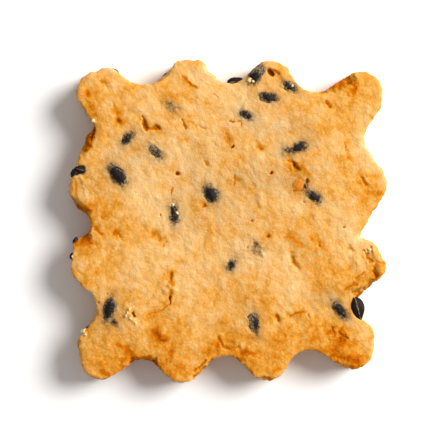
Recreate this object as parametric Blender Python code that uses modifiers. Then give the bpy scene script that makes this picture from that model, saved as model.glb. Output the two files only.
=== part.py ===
"""Sesame cookie: a thin square biscuit with a scalloped rim and black sesame seeds.

The dough starts as a flat plate cut along a scalloped outline, with rounded rims.
One height map then gives it the ledges, dents, lumps and slow waves of a hand cut
and baked piece. The seeds that show are fused to it, on top and round the wall.

Lengths are millimetres from the middle of the base; MM turns them into metres.
"""
import math
import random

import bmesh
import bpy
from mathutils import Matrix, Vector, kdtree, noise
from mathutils.bvhtree import BVHTree

MM = 0.001

NAME = "sesame_cookie"
THICKNESS = 6.0
RIM_RADIUS = 0.6
OUTLINE_STEP = 0.35

# The scalloped outline is a belt round pegs: (x, y, radius, side), clockwise from the
# top left. KNOB pegs push the belt outwards and make the lobes, NOTCH pegs press it
# in between them.
KNOB = 1
NOTCH = -1

TOP_PEGS = [
    (-18.3, 18.0, 3.0, KNOB),
    (-16.5, 19.8, 1.5, KNOB),
    (-12.0, 23.3, 4.2, NOTCH),
    (-6.1, 19.9, 2.6, KNOB),
    (-5.0, 19.9, 2.6, KNOB),
    (0.2, 22.0, 2.8, NOTCH),
    (5.8, 19.7, 2.7, KNOB),
    (12.2, 21.2, 3.2, NOTCH),
    (18.6, 17.9, 3.0, KNOB),
]
RIGHT_PEGS = [
    (19.7, 16.4, 1.7, KNOB),
    (21.9, 11.5, 2.9, NOTCH),
    (19.2, 5.2, 3.0, KNOB),
    (19.0, -2.0, 0.6, NOTCH),
    (19.5, -4.1, 1.3, KNOB),
    (20.4, -6.5, 1.7, KNOB),
    (19.3, -12.15, 1.85, NOTCH),
    (18.6, -16.0, 1.8, KNOB),
]
BOTTOM_PEGS = [
    (17.3, -17.7, 3.1, KNOB),
    (11.3, -21.2, 3.1, NOTCH),
    (5.4, -19.5, 2.9, KNOB),
    (-0.4, -21.7, 2.8, NOTCH),
    (-6.5, -19.8, 2.9, KNOB),
    (-12.1, -22.4, 2.9, NOTCH),
    (-17.9, -19.3, 2.9, KNOB),
]
LEFT_PEGS = [
    (-19.8, -16.9, 1.2, KNOB),
    (-21.4, -12.3, 2.9, NOTCH),
    (-19.1, -6.3, 3.0, KNOB),
    (-20.6, -3.5, 1.1, KNOB),
    (-21.1, -0.5, 1.8, NOTCH),
    (-19.9, 3.0, 1.7, KNOB),
    (-19.7, 4.7, 2.7, KNOB),
    (-19.3, 9.6, 1.3, KNOB),
    (-20.2, 13.1, 1.3, NOTCH),
]

# Relief strokes: (x1, y1, x2, y2, half width, depth), from one end to the other.
# A ledge is a low step at the wall, a dent goes into the top, a lump stands on it.
# Marks thinner than the grain of this model are left to its looks.
LEDGES = [
    (-19.9, 12.9, -20.9, 9.9, 1.3, 1.4),  # wall above the second left lobe
    (-22.5, 5.3, -22.5, 3.2, 1.0, 0.6),  # outer step of the second left lobe
    (-21.8, 2.4, -20.2, 1.0, 1.2, 1.2),  # lower step of the same lobe
    (-19.6, 0.4, -19.5, -1.3, 0.7, 1.2),  # wall of the middle left notch
    (-22.0, -2.5, -20.2, -2.3, 1.3, 1.1),  # spur in the same notch
    (-21.8, 7.1, -20.7, 7.1, 0.8, 1.4),  # dent with an open seed, left
    (-21.5, -16.3, -21.3, -17.9, 0.9, 1.0),  # low lump of the bottom left lobe
    (12.9, 18.9, 18.2, 20.9, 1.1, 0.8),  # flank of the top right lobe
    (-9.9, 19.7, -8.6, 21.0, 0.4, 1.4),  # flank of the second top lobe
    (-13.5, -19.6, -10.5, -19.6, 1.1, 1.4),  # wall of the first bottom notch
    (-4.6, -22.1, -2.2, -20.0, 0.8, 1.6),  # right flank of the second bottom lobe
    (3.6, -22.2, 6.7, -22.2, 0.5, 1.0),  # rim of the third bottom lobe
    (14.1, -20.3, 17.0, -21.0, 0.8, 1.3),  # rim of the bottom right lobe
    (17.8, -10.3, 20.2, -8.7, 0.7, 1.6),  # lower flank of the third right lobe
    (17.6, -11.3, 17.5, -13.2, 0.7, 1.0),  # dent with an open seed, right
]
DENTS = [
    (-12.0, 14.3, -11.6, 12.7, 0.4, 0.6),  # L shaped crack, upright
    (-11.6, 12.9, -9.8, 13.1, 0.4, 0.5),  # L shaped crack, foot
    (9.2, 8.0, 9.7, 7.0, 0.5, 0.4),  # hollow in the right half
    (-8.1, -7.7, -8.1, -8.1, 0.5, 0.3),  # hollow in the lower left half
    (-8.1, -10.9, -8.1, -11.5, 0.4, 0.4),  # second hollow below it
    (-10.6, -1.8, -8.9, -3.4, 1.0, 0.25),  # shallow dent left of the middle
    (8.6, -5.1, 9.7, -6.6, 0.6, 0.3),  # dent right of the middle
    (13.8, 16.4, 14.5, 15.8, 0.4, 0.3),  # nick in the top right lobe
    (18.6, 6.0, 19.3, 5.2, 0.4, 0.3),  # nick in the second right lobe
    (17.2, -3.7, 17.3, -4.4, 0.6, 0.3),  # pit in the third right lobe
    (19.3, -4.1, 20.0, -5.8, 0.5, 0.3),  # crevice of the third right lobe
    (20.6, -5.9, 20.5, -7.9, 0.5, 0.6),  # cleft beside its ball
    (14.6, -15.1, 16.5, -16.4, 0.5, 0.3),  # crack of the bottom right lobe
    (-13.4, -12.8, -13.2, -13.2, 0.5, 0.3),  # cavity in the crumbs
    (5.6, 21.0, 6.8, 20.4, 0.6, 0.5),  # hollow of the third top lobe
]
LUMPS = [
    (4.6, 3.5, 4.6, 2.4, 0.8, 0.2),  # skin over a buried seed
    (21.3, -6.6, 21.3, -7.0, 1.0, 0.3),  # ball of the third right lobe
    (-14.2, -12.1, -13.4, -14.0, 0.7, 0.2),  # crumbs
    (20.4, -4.4, 20.7, -5.2, 0.8, 0.2),  # crag of the third right lobe
]
# Where the wall itself stands in (above 0) or out (below 0) over its whole height.
RIM_MARKS = [
    (-18.8, 21.3, -18.6, 21.0, 0.7, 0.2),  # dip of the top left lobe
    (-17.6, 21.4, -17.2, 21.4, 0.8, -0.25),  # bump beside it
    (-19.6, 12.6, -19.9, 11.6, 0.9, -0.5),  # brown strip above the second left lobe
    (-3.0, 21.2, -2.8, 20.6, 0.8, 0.35),  # steep shoulder of the second top lobe
    (-8.2, 21.4, -8.0, 20.8, 0.8, 0.25),  # its left shoulder
    (-3.9, 22.2, -4.2, 22.2, 0.7, -0.25),  # its right corner
    (8.1, 21.2, 7.9, 21.4, 0.8, -0.25),  # shoulder of the third top lobe
    (21.5, -5.4, 21.5, -5.6, 0.8, 0.3),  # nick above the ball of the third right lobe
    (-21.6, 7.4, -21.9, 6.9, 0.9, 0.3),  # dent with an open seed, left
    (-22.6, 4.0, -22.6, 3.9, 0.6, -0.35),  # spike of the second left lobe
    (-21.1, -17.1, -21.1, -17.3, 0.8, -0.3),  # bump of the bottom left lobe
]
LEDGE_SLOPE = 0.9
DENT_SLOPE = 0.75

# The top falls a little towards the rim and rolls in slow waves.
CROWN_DROP = 0.2
CROWN_REACH = 1.2
WAVES = [(7.0, 0.12), (2.6, 0.05)]  # (wave length, height)

# The wall is crumbly and draws in between its top and its foot.
WALL_REACH = 1.3
WALL_WAIST = 0.25
WALL_GRAIN = 1.1

REMESH_GRAIN = 0.35
SOFTENING_PASSES = 2
DOUGH_TRIANGLES = 6800
BASE_SNAP = 0.08

# Seeds: (x, y, length, width, turn in degrees, height that stands proud).
TOP_SEEDS = [
    (3.9, 20.7, 3.1, 1.7, 55, 0.35),
    (5.1, 21.5, 2.7, 1.5, -45, 0.25),
    (8.6, 18.7, 2.7, 1.5, -30, 0.20),
    (5.5, 17.2, 2.8, 1.7, -10, 0.20),
    (2.6, 14.8, 2.5, 1.7, -35, 0.20),
    (-7.9, 15.9, 2.5, 1.7, -30, 0.12),
    (-14.1, 11.5, 2.4, 1.5, 50, 0.20),
    (-10.2, 9.8, 2.8, 1.7, -45, 0.20),
    (-15.5, 6.4, 3.4, 1.8, -50, 0.30),
    (-7.6, 1.2, 3.4, 1.5, -85, 0.25),
    (-2.5, 3.8, 2.9, 1.8, -55, 0.30),
    (9.3, 10.1, 3.1, 1.5, 20, 0.25),
    (12.0, 3.6, 2.7, 1.5, -20, 0.20),
    (10.0, 5.3, 2.0, 1.8, 60, 0.20),
    (0.5, -6.2, 2.2, 1.5, 60, 0.15),
    (4.0, -3.9, 2.5, 1.5, -50, 0.12),
    (-16.7, -12.5, 3.6, 1.8, 75, 0.30),
    (3.6, -14.3, 3.1, 1.7, -80, 0.20),
    (15.6, -12.3, 3.1, 1.7, -48, 0.20),
]
# Seeds that poke out of the rim: (x, y, height of the seed, length, width, turn).
RIM_SEEDS = [
    (1.1, 19.5, 4.4, 2.6, 1.4, 8),
    (18.1, -12.3, 4.9, 3.3, 1.9, -75),
    (-21.0, 6.9, 5.15, 2.5, 1.5, 57),
    (-21.6, -4.8, 4.4, 2.0, 1.4, 45),
    (-20.7, -2.7, 1.8, 2.0, 1.4, 70),
    (-15.8, 20.4, 3.8, 2.5, 1.4, -70),
    (-8.7, 20.2, 3.0, 2.2, 1.3, 50),
]
SEED_THICKNESS_SHARE = 0.55
SEED_TAPER = 0.28
SEED_SEGMENTS = 6
SEED_RINGS = 4

# More seeds lie in the wall, spread round it by a rule.
WALL_SEED_COUNT = 14
WALL_SEED_SIZE = (2.8, 1.6)
WALL_SEED_HEIGHTS = (1.6, 3.8)
WALL_SEED_PROUD = 0.12
RANDOM_SEED = 7

DOUGH_COLOUR = (0.76, 0.42, 0.15, 1.0)
DOUGH_ROUGHNESS = 0.85
SEED_COLOUR = (0.012, 0.011, 0.012, 1.0)
SEED_ROUGHNESS = 0.45


def clear_objects():
    for item in list(bpy.data.objects):
        bpy.data.objects.remove(item, do_unlink=True)


def new_collection(name):
    collection = bpy.data.collections.new(name)
    bpy.context.scene.collection.children.link(collection)
    return collection


def matte_material(name, colour, roughness):
    material = bpy.data.materials.new(name)
    material.use_nodes = True
    shader = material.node_tree.nodes["Principled BSDF"]
    shader.inputs["Base Color"].default_value = colour
    shader.inputs["Roughness"].default_value = roughness
    shader.inputs["Metallic"].default_value = 0.0
    material.diffuse_color = colour
    return material


def straight_run(peg, following):
    """Ends of the belt's straight run from one peg to the following one."""
    centre = Vector(peg[:2])
    gap = Vector(following[:2]) - centre
    along = gap.normalized()
    left = Vector((-along.y, along.x))
    reach, next_reach = peg[2] * peg[3], following[2] * following[3]
    lean = (reach - next_reach) / gap.length
    normal = along * lean + left * math.sqrt(1.0 - lean * lean)
    return centre + normal * reach, Vector(following[:2]) + normal * next_reach


def arc_round(peg, first, last):
    """Points on a peg from where the belt meets it to where it leaves."""
    centre, radius, side = Vector(peg[:2]), peg[2], peg[3]
    start, end = first - centre, last - centre
    start_angle = math.atan2(start.y, start.x)
    turn = math.atan2(end.y, end.x) - start_angle
    turn = -((-turn) % math.tau) if side == KNOB else turn % math.tau
    if abs(turn) > 1.7 * math.pi:
        turn -= math.copysign(math.tau, turn)
    steps = max(2, math.ceil(abs(turn) * radius / OUTLINE_STEP))
    angles = [start_angle + turn * i / steps for i in range(steps + 1)]
    return [centre + radius * Vector((math.cos(a), math.sin(a))) for a in angles]


def scalloped_outline(pegs):
    """Closed run of evenly dense points: an arc on each peg, a straight run after it."""
    runs = [straight_run(peg, pegs[(i + 1) % len(pegs)]) for i, peg in enumerate(pegs)]
    dense = []
    for i, peg in enumerate(pegs):
        dense += arc_round(peg, runs[i - 1][1], runs[i][0])
        start, end = runs[i]
        steps = math.ceil((end - start).length / OUTLINE_STEP)
        dense += [start.lerp(end, step / steps) for step in range(1, steps)]
    points = [dense[0]]
    for point in dense[1:]:
        spaced = (point - points[-1]).length > OUTLINE_STEP / 3
        if spaced and (point - points[0]).length > OUTLINE_STEP / 3:
            points.append(point)
    return points


def evaluated_mesh(item):
    """The object's mesh as its modifiers or its curve settings make it."""
    graph = bpy.context.evaluated_depsgraph_get()
    return bpy.data.meshes.new_from_object(item.evaluated_get(graph))


def apply_modifiers(item):
    mesh = evaluated_mesh(item)
    item.modifiers.clear()
    old_mesh, item.data = item.data, mesh
    bpy.data.meshes.remove(old_mesh)


def cut_plate(outline, collection):
    """The dough as it leaves the cutter: a flat plate with rounded rims."""
    curve = bpy.data.curves.new("dough_outline", "CURVE")
    curve.dimensions = "2D"
    curve.fill_mode = "BOTH"
    curve.extrude = (THICKNESS / 2 - RIM_RADIUS) * MM
    curve.bevel_depth = RIM_RADIUS * MM
    curve.bevel_resolution = 3
    curve.offset = -RIM_RADIUS * MM
    spline = curve.splines.new("POLY")
    spline.points.add(len(outline) - 1)
    spline.use_cyclic_u = True
    for point, place in zip(spline.points, outline):
        point.co = (place.x * MM, place.y * MM, 0.0, 1.0)
    drawn = bpy.data.objects.new("dough_curve", curve)
    collection.objects.link(drawn)
    mesh = evaluated_mesh(drawn)
    bpy.data.objects.remove(drawn, do_unlink=True)

    shell = bmesh.new()
    shell.from_mesh(mesh)
    bmesh.ops.remove_doubles(shell, verts=shell.verts, dist=0.00002)
    bmesh.ops.translate(shell, verts=shell.verts, vec=(0.0, 0.0, THICKNESS / 2 * MM))
    bmesh.ops.recalc_face_normals(shell, faces=shell.faces)
    shell.to_mesh(mesh)
    shell.free()
    plate = bpy.data.objects.new(NAME, mesh)
    collection.objects.link(plate)
    return plate


def remesh_evenly(item):
    remesh = item.modifiers.new("even_grain", "REMESH")
    remesh.mode = "VOXEL"
    remesh.voxel_size = REMESH_GRAIN * MM
    remesh.adaptivity = 0.0
    apply_modifiers(item)


def eased(share):
    """A smooth step from 0 to 1."""
    share = min(max(share, 0.0), 1.0)
    return share * share * (3.0 - 2.0 * share)


def stroke_depth(stroke, place, slope):
    """Depth of a relief stroke at a place; slope is the share that its sides take."""
    first, last = Vector(stroke[0:2]), Vector(stroke[2:4])
    half_width, depth = stroke[4:6]
    along = last - first
    share = (place - first).dot(along) / along.length_squared
    distance = (place - first - along * min(max(share, 0.0), 1.0)).length
    return depth * eased((1.0 - distance / half_width) / slope)


def dough_height(place, edge_distance):
    """Height of the baked top above the base at a place."""
    height = THICKNESS - CROWN_DROP * math.exp(-edge_distance / CROWN_REACH)
    for layer, (wave_length, wave_height) in enumerate(WAVES):
        sample = Vector((place.x / wave_length, place.y / wave_length, 3.7 * layer))
        height += wave_height * noise.noise(sample)
    height -= max(stroke_depth(stroke, place, LEDGE_SLOPE) for stroke in LEDGES)
    height -= max(stroke_depth(stroke, place, DENT_SLOPE) for stroke in DENTS)
    height += max(stroke_depth(stroke, place, 1.0) for stroke in LUMPS)
    return height


def wall_shift(place, level, edge_distance):
    """How far the wall stands in at a level between 0 and 1: waist, crumbs and marks."""
    grain = noise.noise(Vector((place.x, place.y, level * THICKNESS)) / WALL_GRAIN)
    waist = math.sin(math.pi * min(max(level, 0.0), 1.0))
    marks = sum(stroke_depth(stroke, place, 1.0) for stroke in RIM_MARKS)
    near_wall = eased(1.0 - edge_distance / WALL_REACH)
    return (WALL_WAIST * waist * (0.5 + grain) + marks) * near_wall


def bake_relief(item, outline):
    """Turn the flat plate into baked dough: relief on top, a crumbly wall, a flat base."""
    nearest = kdtree.KDTree(len(outline))
    for i, point in enumerate(outline):
        nearest.insert((point.x, point.y, 0.0), i)
    nearest.balance()
    for vertex in item.data.vertices:
        place = vertex.co.xy / MM
        _, index, edge_distance = nearest.find((place.x, place.y, 0.0))
        level = vertex.co.z / MM / THICKNESS
        run = (outline[(index + 1) % len(outline)] - outline[index - 1]).normalized()
        inward = Vector((run.y, -run.x))
        moved = place + inward * wall_shift(place, level, edge_distance)
        height = level * dough_height(place, edge_distance)
        height = 0.0 if height < BASE_SNAP else height
        vertex.co = (moved.x * MM, moved.y * MM, height * MM)


def thin_out(item):
    """Soften the relief once, then keep few triangles where the surface is plain."""
    soften = item.modifiers.new("soften", "SMOOTH")
    soften.factor = 0.5
    soften.iterations = SOFTENING_PASSES
    triangles = sum(len(face.vertices) - 2 for face in item.data.polygons)
    decimate = item.modifiers.new("thin_out", "DECIMATE")
    decimate.ratio = DOUGH_TRIANGLES / triangles
    decimate.use_collapse_triangulate = True
    apply_modifiers(item)
    for vertex in item.data.vertices:
        if vertex.co.z < BASE_SNAP * MM:
            vertex.co.z = 0.0


def seed_object(name, length, width, placement, material, collection):
    """A flat drop: a round shape drawn out to its length, with one slimmer end."""
    size = Vector((length, width, width * SEED_THICKNESS_SHARE)) / 2 * MM
    shape = bmesh.new()
    bmesh.ops.create_uvsphere(
        shape, u_segments=SEED_SEGMENTS, v_segments=SEED_RINGS, radius=1.0,
        matrix=Matrix.Rotation(math.pi / 2, 4, "Y"),
    )
    for vertex in shape.verts:
        slimming = 1.0 - SEED_TAPER * vertex.co.x
        vertex.co.x *= size.x
        vertex.co.y *= size.y * slimming
        vertex.co.z *= size.z * slimming
    bmesh.ops.transform(shape, matrix=placement, verts=shape.verts)
    mesh = bpy.data.meshes.new(name)
    shape.to_mesh(mesh)
    shape.free()
    mesh.materials.append(material)
    seed = bpy.data.objects.new(name, mesh)
    collection.objects.link(seed)
    return seed


def lying_placement(x, y, height, turn):
    place = Matrix.Translation(Vector((x, y, height)) * MM)
    return place @ Matrix.Rotation(math.radians(turn), 4, "Z")


def top_seeds(surface, material, collection):
    for i, (x, y, length, width, turn, proud) in enumerate(TOP_SEEDS):
        above = Vector((x, y, 2 * THICKNESS)) * MM
        hit = surface.ray_cast(above, Vector((0.0, 0.0, -1.0)))[0]
        height = hit.z / MM + proud - width * SEED_THICKNESS_SHARE / 2
        placement = lying_placement(x, y, height, turn)
        seed_object(f"top_seed_{i}", length, width, placement, material, collection)


def rim_seeds(material, collection):
    for i, (x, y, height, length, width, turn) in enumerate(RIM_SEEDS):
        placement = lying_placement(x, y, height, turn)
        seed_object(f"rim_seed_{i}", length, width, placement, material, collection)


def wall_seeds(surface, outline, material, collection):
    """Seeds that lie flat in the wall, at even steps round it with some scatter."""
    rule = random.Random(RANDOM_SEED)
    length, width = WALL_SEED_SIZE
    for i in range(WALL_SEED_COUNT):
        step = (i + rule.uniform(0.2, 0.8)) / WALL_SEED_COUNT
        index = int(step * len(outline))
        here, beyond = outline[index], outline[(index + 1) % len(outline)]
        run = (beyond - here).normalized()
        outward = Vector((-run.y, run.x, 0.0))
        height = rule.uniform(*WALL_SEED_HEIGHTS)
        start = Vector((here.x, here.y, height)) * MM + outward * 2 * MM
        hit, normal = surface.ray_cast(start, -outward)[:2]
        normal = Vector((normal.x, normal.y, 0.0)).normalized()
        sunk = WALL_SEED_PROUD - width * SEED_THICKNESS_SHARE / 2
        turned = normal.to_track_quat("Z", "X").to_matrix().to_4x4()
        spin = Matrix.Rotation(math.radians(rule.uniform(-60.0, 60.0)), 4, "Z")
        placement = Matrix.Translation(hit + normal * sunk * MM) @ turned @ spin
        seed_object(f"wall_seed_{i}", length, width, placement, material, collection)


def fuse(item, collection):
    """One union of the dough with every seed in the collection, then drop the seeds."""
    union = item.modifiers.new("fuse_seeds", "BOOLEAN")
    union.operation = "UNION"
    union.solver = "EXACT"
    union.operand_type = "COLLECTION"
    union.collection = collection
    union.material_mode = "TRANSFER"
    apply_modifiers(item)
    for seed in list(collection.objects):
        bpy.data.objects.remove(seed, do_unlink=True)
    bpy.data.collections.remove(collection)


def main():
    clear_objects()
    parts = new_collection(NAME)
    seeds = new_collection("seeds_to_fuse")
    dough_material = matte_material("baked_dough", DOUGH_COLOUR, DOUGH_ROUGHNESS)
    seed_material = matte_material("black_sesame", SEED_COLOUR, SEED_ROUGHNESS)

    outline = scalloped_outline(TOP_PEGS + RIGHT_PEGS + BOTTOM_PEGS + LEFT_PEGS)
    cookie = cut_plate(outline, parts)
    remesh_evenly(cookie)
    bake_relief(cookie, outline)
    thin_out(cookie)
    cookie.data.materials.clear()
    cookie.data.materials.append(dough_material)

    surface = BVHTree.FromObject(cookie, bpy.context.evaluated_depsgraph_get())
    top_seeds(surface, seed_material, seeds)
    rim_seeds(seed_material, seeds)
    wall_seeds(surface, outline, seed_material, seeds)
    fuse(cookie, seeds)
    cookie.data.shade_smooth()
    cookie.data.set_sharp_from_angle(angle=math.radians(50))


main()
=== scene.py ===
# %% [markdown]
# # A sesame cookie
# A small square biscuit with a scalloped rim and black sesame seeds in pale golden
# dough. The lesson goes the way a baker does: cut the outline, let the dough bake and
# crack, set the seeds in it, and then look at the colours that the oven gave it.
#
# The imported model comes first. It fixes the size and the place of everything below.

import math
import random

import bmesh
import bpy
import numpy as np
from mathutils import Matrix, Vector, kdtree, noise
from mathutils.bvhtree import BVHTree


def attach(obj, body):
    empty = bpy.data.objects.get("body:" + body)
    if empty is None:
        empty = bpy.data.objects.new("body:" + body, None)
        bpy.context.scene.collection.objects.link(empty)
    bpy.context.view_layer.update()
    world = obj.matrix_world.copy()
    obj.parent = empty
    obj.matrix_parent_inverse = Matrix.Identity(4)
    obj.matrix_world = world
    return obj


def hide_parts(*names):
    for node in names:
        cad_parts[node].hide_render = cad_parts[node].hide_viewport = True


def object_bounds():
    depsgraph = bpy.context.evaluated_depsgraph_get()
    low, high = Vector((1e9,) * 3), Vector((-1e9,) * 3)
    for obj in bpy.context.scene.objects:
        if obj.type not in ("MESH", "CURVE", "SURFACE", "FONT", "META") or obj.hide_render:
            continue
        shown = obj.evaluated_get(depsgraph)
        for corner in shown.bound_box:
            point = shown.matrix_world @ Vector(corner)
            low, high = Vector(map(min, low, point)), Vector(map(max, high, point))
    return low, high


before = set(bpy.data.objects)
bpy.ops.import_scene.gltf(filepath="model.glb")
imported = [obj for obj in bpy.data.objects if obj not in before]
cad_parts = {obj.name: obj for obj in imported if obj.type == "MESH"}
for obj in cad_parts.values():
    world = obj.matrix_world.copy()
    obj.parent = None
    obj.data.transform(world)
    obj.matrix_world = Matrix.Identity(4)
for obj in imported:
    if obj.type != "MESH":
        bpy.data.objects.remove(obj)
cad_box = [list(corner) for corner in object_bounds()]
NODE = "sesame_cookie"
MM = 0.001
print("cookie box in mm:", [[round(value / MM, 2) for value in corner] for corner in cad_box])

# %% [markdown]
# ## The outline
# A scalloped cutter is a strip of metal bent in and out round pegs. So the outline is
# drawn the same way: a belt runs round pegs, outside the knobs that make the lobes and
# inside the notches between them. Each peg is (x, y, radius, side) in millimetres from
# the middle of the cookie, clockwise from the top left. Moving one peg moves one lobe,
# which is easier to get right than a long list of points.

# %% Pegs of the cutter
KNOB, NOTCH = 1, -1
PEGS = [
    # top side
    (-18.3, 18.0, 3.0, KNOB), (-16.5, 19.8, 1.5, KNOB), (-12.0, 23.3, 4.2, NOTCH),
    (-6.1, 19.9, 2.6, KNOB), (-5.0, 19.9, 2.6, KNOB), (0.2, 22.0, 2.8, NOTCH),
    (5.8, 19.7, 2.7, KNOB), (12.2, 21.2, 3.2, NOTCH), (18.6, 17.9, 3.0, KNOB),
    # right side
    (19.7, 16.4, 1.7, KNOB), (21.9, 11.5, 2.9, NOTCH), (19.2, 5.2, 3.0, KNOB),
    (19.0, -2.0, 0.6, NOTCH), (19.5, -4.1, 1.3, KNOB), (20.4, -6.5, 1.7, KNOB),
    (19.3, -12.15, 1.85, NOTCH), (18.6, -16.0, 1.8, KNOB),
    # bottom side
    (17.3, -17.7, 3.1, KNOB), (11.3, -21.2, 3.1, NOTCH), (5.4, -19.5, 2.9, KNOB),
    (-0.4, -21.7, 2.8, NOTCH), (-6.5, -19.8, 2.9, KNOB), (-12.1, -22.4, 2.9, NOTCH),
    (-17.9, -19.3, 2.9, KNOB),
    # left side
    (-19.8, -16.9, 1.2, KNOB), (-21.4, -12.3, 2.9, NOTCH), (-19.1, -6.3, 3.0, KNOB),
    (-20.6, -3.5, 1.1, KNOB), (-21.1, -0.5, 1.8, NOTCH), (-19.9, 3.0, 1.7, KNOB),
    (-19.7, 4.7, 2.7, KNOB), (-19.3, 9.6, 1.3, KNOB), (-20.2, 13.1, 1.3, NOTCH),
]
OUTLINE_STEP = 0.35
LONGEST_TURN = 1.7 * math.pi


def straight_run(peg, following):
    """Ends of the belt's straight run from one peg to the following one."""
    centre = Vector(peg[:2])
    gap = Vector(following[:2]) - centre
    along = gap.normalized()
    left = Vector((-along.y, along.x))
    reach, next_reach = peg[2] * peg[3], following[2] * following[3]
    lean = (reach - next_reach) / gap.length
    normal = along * lean + left * math.sqrt(1.0 - lean * lean)
    return centre + normal * reach, Vector(following[:2]) + normal * next_reach


def arc_round(peg, first, last):
    """Points on a peg from where the belt meets it to where it leaves.

    No belt wraps nearly all round a peg: such a turn is a short one the other way."""
    centre, radius, side = Vector(peg[:2]), peg[2], peg[3]
    start, end = first - centre, last - centre
    start_angle = math.atan2(start.y, start.x)
    turn = math.atan2(end.y, end.x) - start_angle
    turn = -((-turn) % math.tau) if side == KNOB else turn % math.tau
    if abs(turn) > LONGEST_TURN:
        turn -= math.copysign(math.tau, turn)
    steps = max(2, math.ceil(abs(turn) * radius / OUTLINE_STEP))
    angles = [start_angle + turn * i / steps for i in range(steps + 1)]
    return [centre + radius * Vector((math.cos(a), math.sin(a))) for a in angles]


def scalloped_outline(pegs):
    """Closed run of evenly dense points: an arc on each peg, a straight run after it."""
    runs = [straight_run(peg, pegs[(i + 1) % len(pegs)]) for i, peg in enumerate(pegs)]
    dense = []
    for i, peg in enumerate(pegs):
        dense += arc_round(peg, runs[i - 1][1], runs[i][0])
        start, end = runs[i]
        steps = math.ceil((end - start).length / OUTLINE_STEP)
        dense += [start.lerp(end, step / steps) for step in range(1, steps)]
    points = [dense[0]]
    closest = OUTLINE_STEP / 3
    for point in dense[1:]:
        if (point - points[-1]).length > closest and (point - points[0]).length > closest:
            points.append(point)
    return points


outline = scalloped_outline(PEGS)
print("outline points:", len(outline))

# %% [markdown]
# ## The cut dough
# The plate starts as one face on the outline. It is extruded to the full thickness, and
# both rims are bevelled round. A flat face has no points inside it to move, so a voxel
# remesh then gives the whole skin an even grain, fine enough for cracks of a few tenths
# of a millimetre.

# %% Cut the plate
THICKNESS = 6.0
RIM_RADIUS, RIM_SEGMENTS = 0.36, 4
SKIN_GRAIN = 0.155


def cut_plate():
    """The outline as one face, extruded to the full thickness, with both rims bevelled."""
    plate = bmesh.new()
    corners = [plate.verts.new((point.x * MM, point.y * MM, 0.0)) for point in outline]
    base = plate.faces.new(corners)
    raised = bmesh.ops.extrude_face_region(plate, geom=[base])["geom"]
    top = [item for item in raised if isinstance(item, bmesh.types.BMVert)]
    bmesh.ops.translate(plate, verts=top, vec=(0.0, 0.0, THICKNESS * MM))
    bmesh.ops.recalc_face_normals(plate, faces=plate.faces)
    rims = [edge for edge in plate.edges if edge.verts[0].co.z == edge.verts[1].co.z]
    bmesh.ops.bevel(
        plate, geom=rims, offset=RIM_RADIUS * MM, offset_type="OFFSET", affect="EDGES",
        segments=RIM_SEGMENTS, profile=0.5, material=-1,
    )
    mesh = bpy.data.meshes.new("cookie_dough")
    plate.to_mesh(mesh)
    plate.free()
    dough = bpy.data.objects.new("cookie_dough", mesh)
    bpy.context.scene.collection.objects.link(dough)
    return dough


def apply_modifiers(item):
    """Puts what the modifiers make into the item's own mesh."""
    graph = bpy.context.evaluated_depsgraph_get()
    mesh = bpy.data.meshes.new_from_object(item.evaluated_get(graph))
    item.modifiers.clear()
    item.data = mesh


def triangle_count(item):
    return sum(len(face.vertices) - 2 for face in item.data.polygons)


dough = cut_plate()
remesh = dough.modifiers.new("even_grain", "REMESH")
remesh.mode = "VOXEL"
remesh.voxel_size = SKIN_GRAIN * MM
apply_modifiers(dough)
print("skin triangles:", triangle_count(dough))

# %% [markdown]
# ## Marks that the oven left
# Every mark is a stroke from one point to another with a half width, like a thumb drawn
# through the dough. A ledge is a low step at the wall. A crack is narrow and deep; it
# browns inside, and its dark colour is partly painted shade. A patch is wide and shallow,
# where the skin toasted more. A lump stands up. The numbers are x, y, x, y, half width,
# depth, and then how dark it baked, which in cracks is partly painted shade.

# %% Ledges at the wall
LEDGES = [
    # left side
    (-19.9, 12.9, -20.9, 9.9, 1.2, 0.9, 0.5), (-22.5, 5.3, -22.5, 3.2, 0.9, 0.5, 0.15),
    (-21.8, 2.4, -20.2, 1.0, 1.1, 1.2, 0.7), (-19.7, 0.4, -19.6, -1.3, 0.5, 1.2, 0.5),
    (-22.0, -2.5, -20.2, -2.4, 1.2, 1.3, 0.9), (-21.8, 7.1, -20.7, 7.1, 0.8, 2.2, 0.2),
    (-21.5, -16.3, -21.3, -17.9, 0.9, 1.5, 0.4),
    # top right lobe, second top lobe
    (13.0, 18.2, 16.9, 19.8, 1.1, 1.2, 0.45), (-9.9, 19.7, -8.6, 21.0, 0.4, 2.2, 0.4),
    # bottom side, from the left
    (-13.5, -19.8, -10.5, -19.8, 0.75, 2.4, 0.8), (-4.6, -22.1, -2.2, -20.0, 0.8, 2.4, 0.5),
    (3.6, -22.2, 6.7, -22.2, 0.5, 0.8, 0.15), (14.1, -20.3, 17.0, -21.0, 0.8, 2.0, 0.5),
    # third right lobe
    (17.8, -10.3, 20.2, -8.7, 0.7, 2.4, 0.5),
]
# Where the wall itself stands in (above 0) or out (below 0): x, y, x, y, half width, mm.
RIM_MARKS = [
    # top left lobe
    (-18.8, 21.3, -18.6, 21.0, 0.7, 0.1), (-17.6, 21.4, -17.2, 21.4, 0.8, -0.25),
    # second and third top lobes
    (-3.0, 21.2, -2.8, 20.6, 0.8, 0.35), (-8.2, 21.4, -8.0, 20.8, 0.8, 0.25),
    (-3.9, 22.2, -4.2, 22.2, 0.7, -0.25), (8.1, 21.2, 7.9, 21.4, 0.8, -0.25),
    # left side, and a nick above the ball of the third right lobe
    (-19.6, 12.6, -19.9, 11.6, 0.9, -0.5), (21.4, -5.4, 21.4, -5.6, 0.7, 0.15),
    (-21.6, 7.4, -21.9, 6.9, 0.9, 0.3), (-22.6, 4.0, -22.6, 3.9, 0.6, -0.35),
    (-21.1, -17.1, -21.1, -17.3, 0.8, -0.3),
]
print("ledges:", len(LEDGES), "rim marks:", len(RIM_MARKS))

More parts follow.
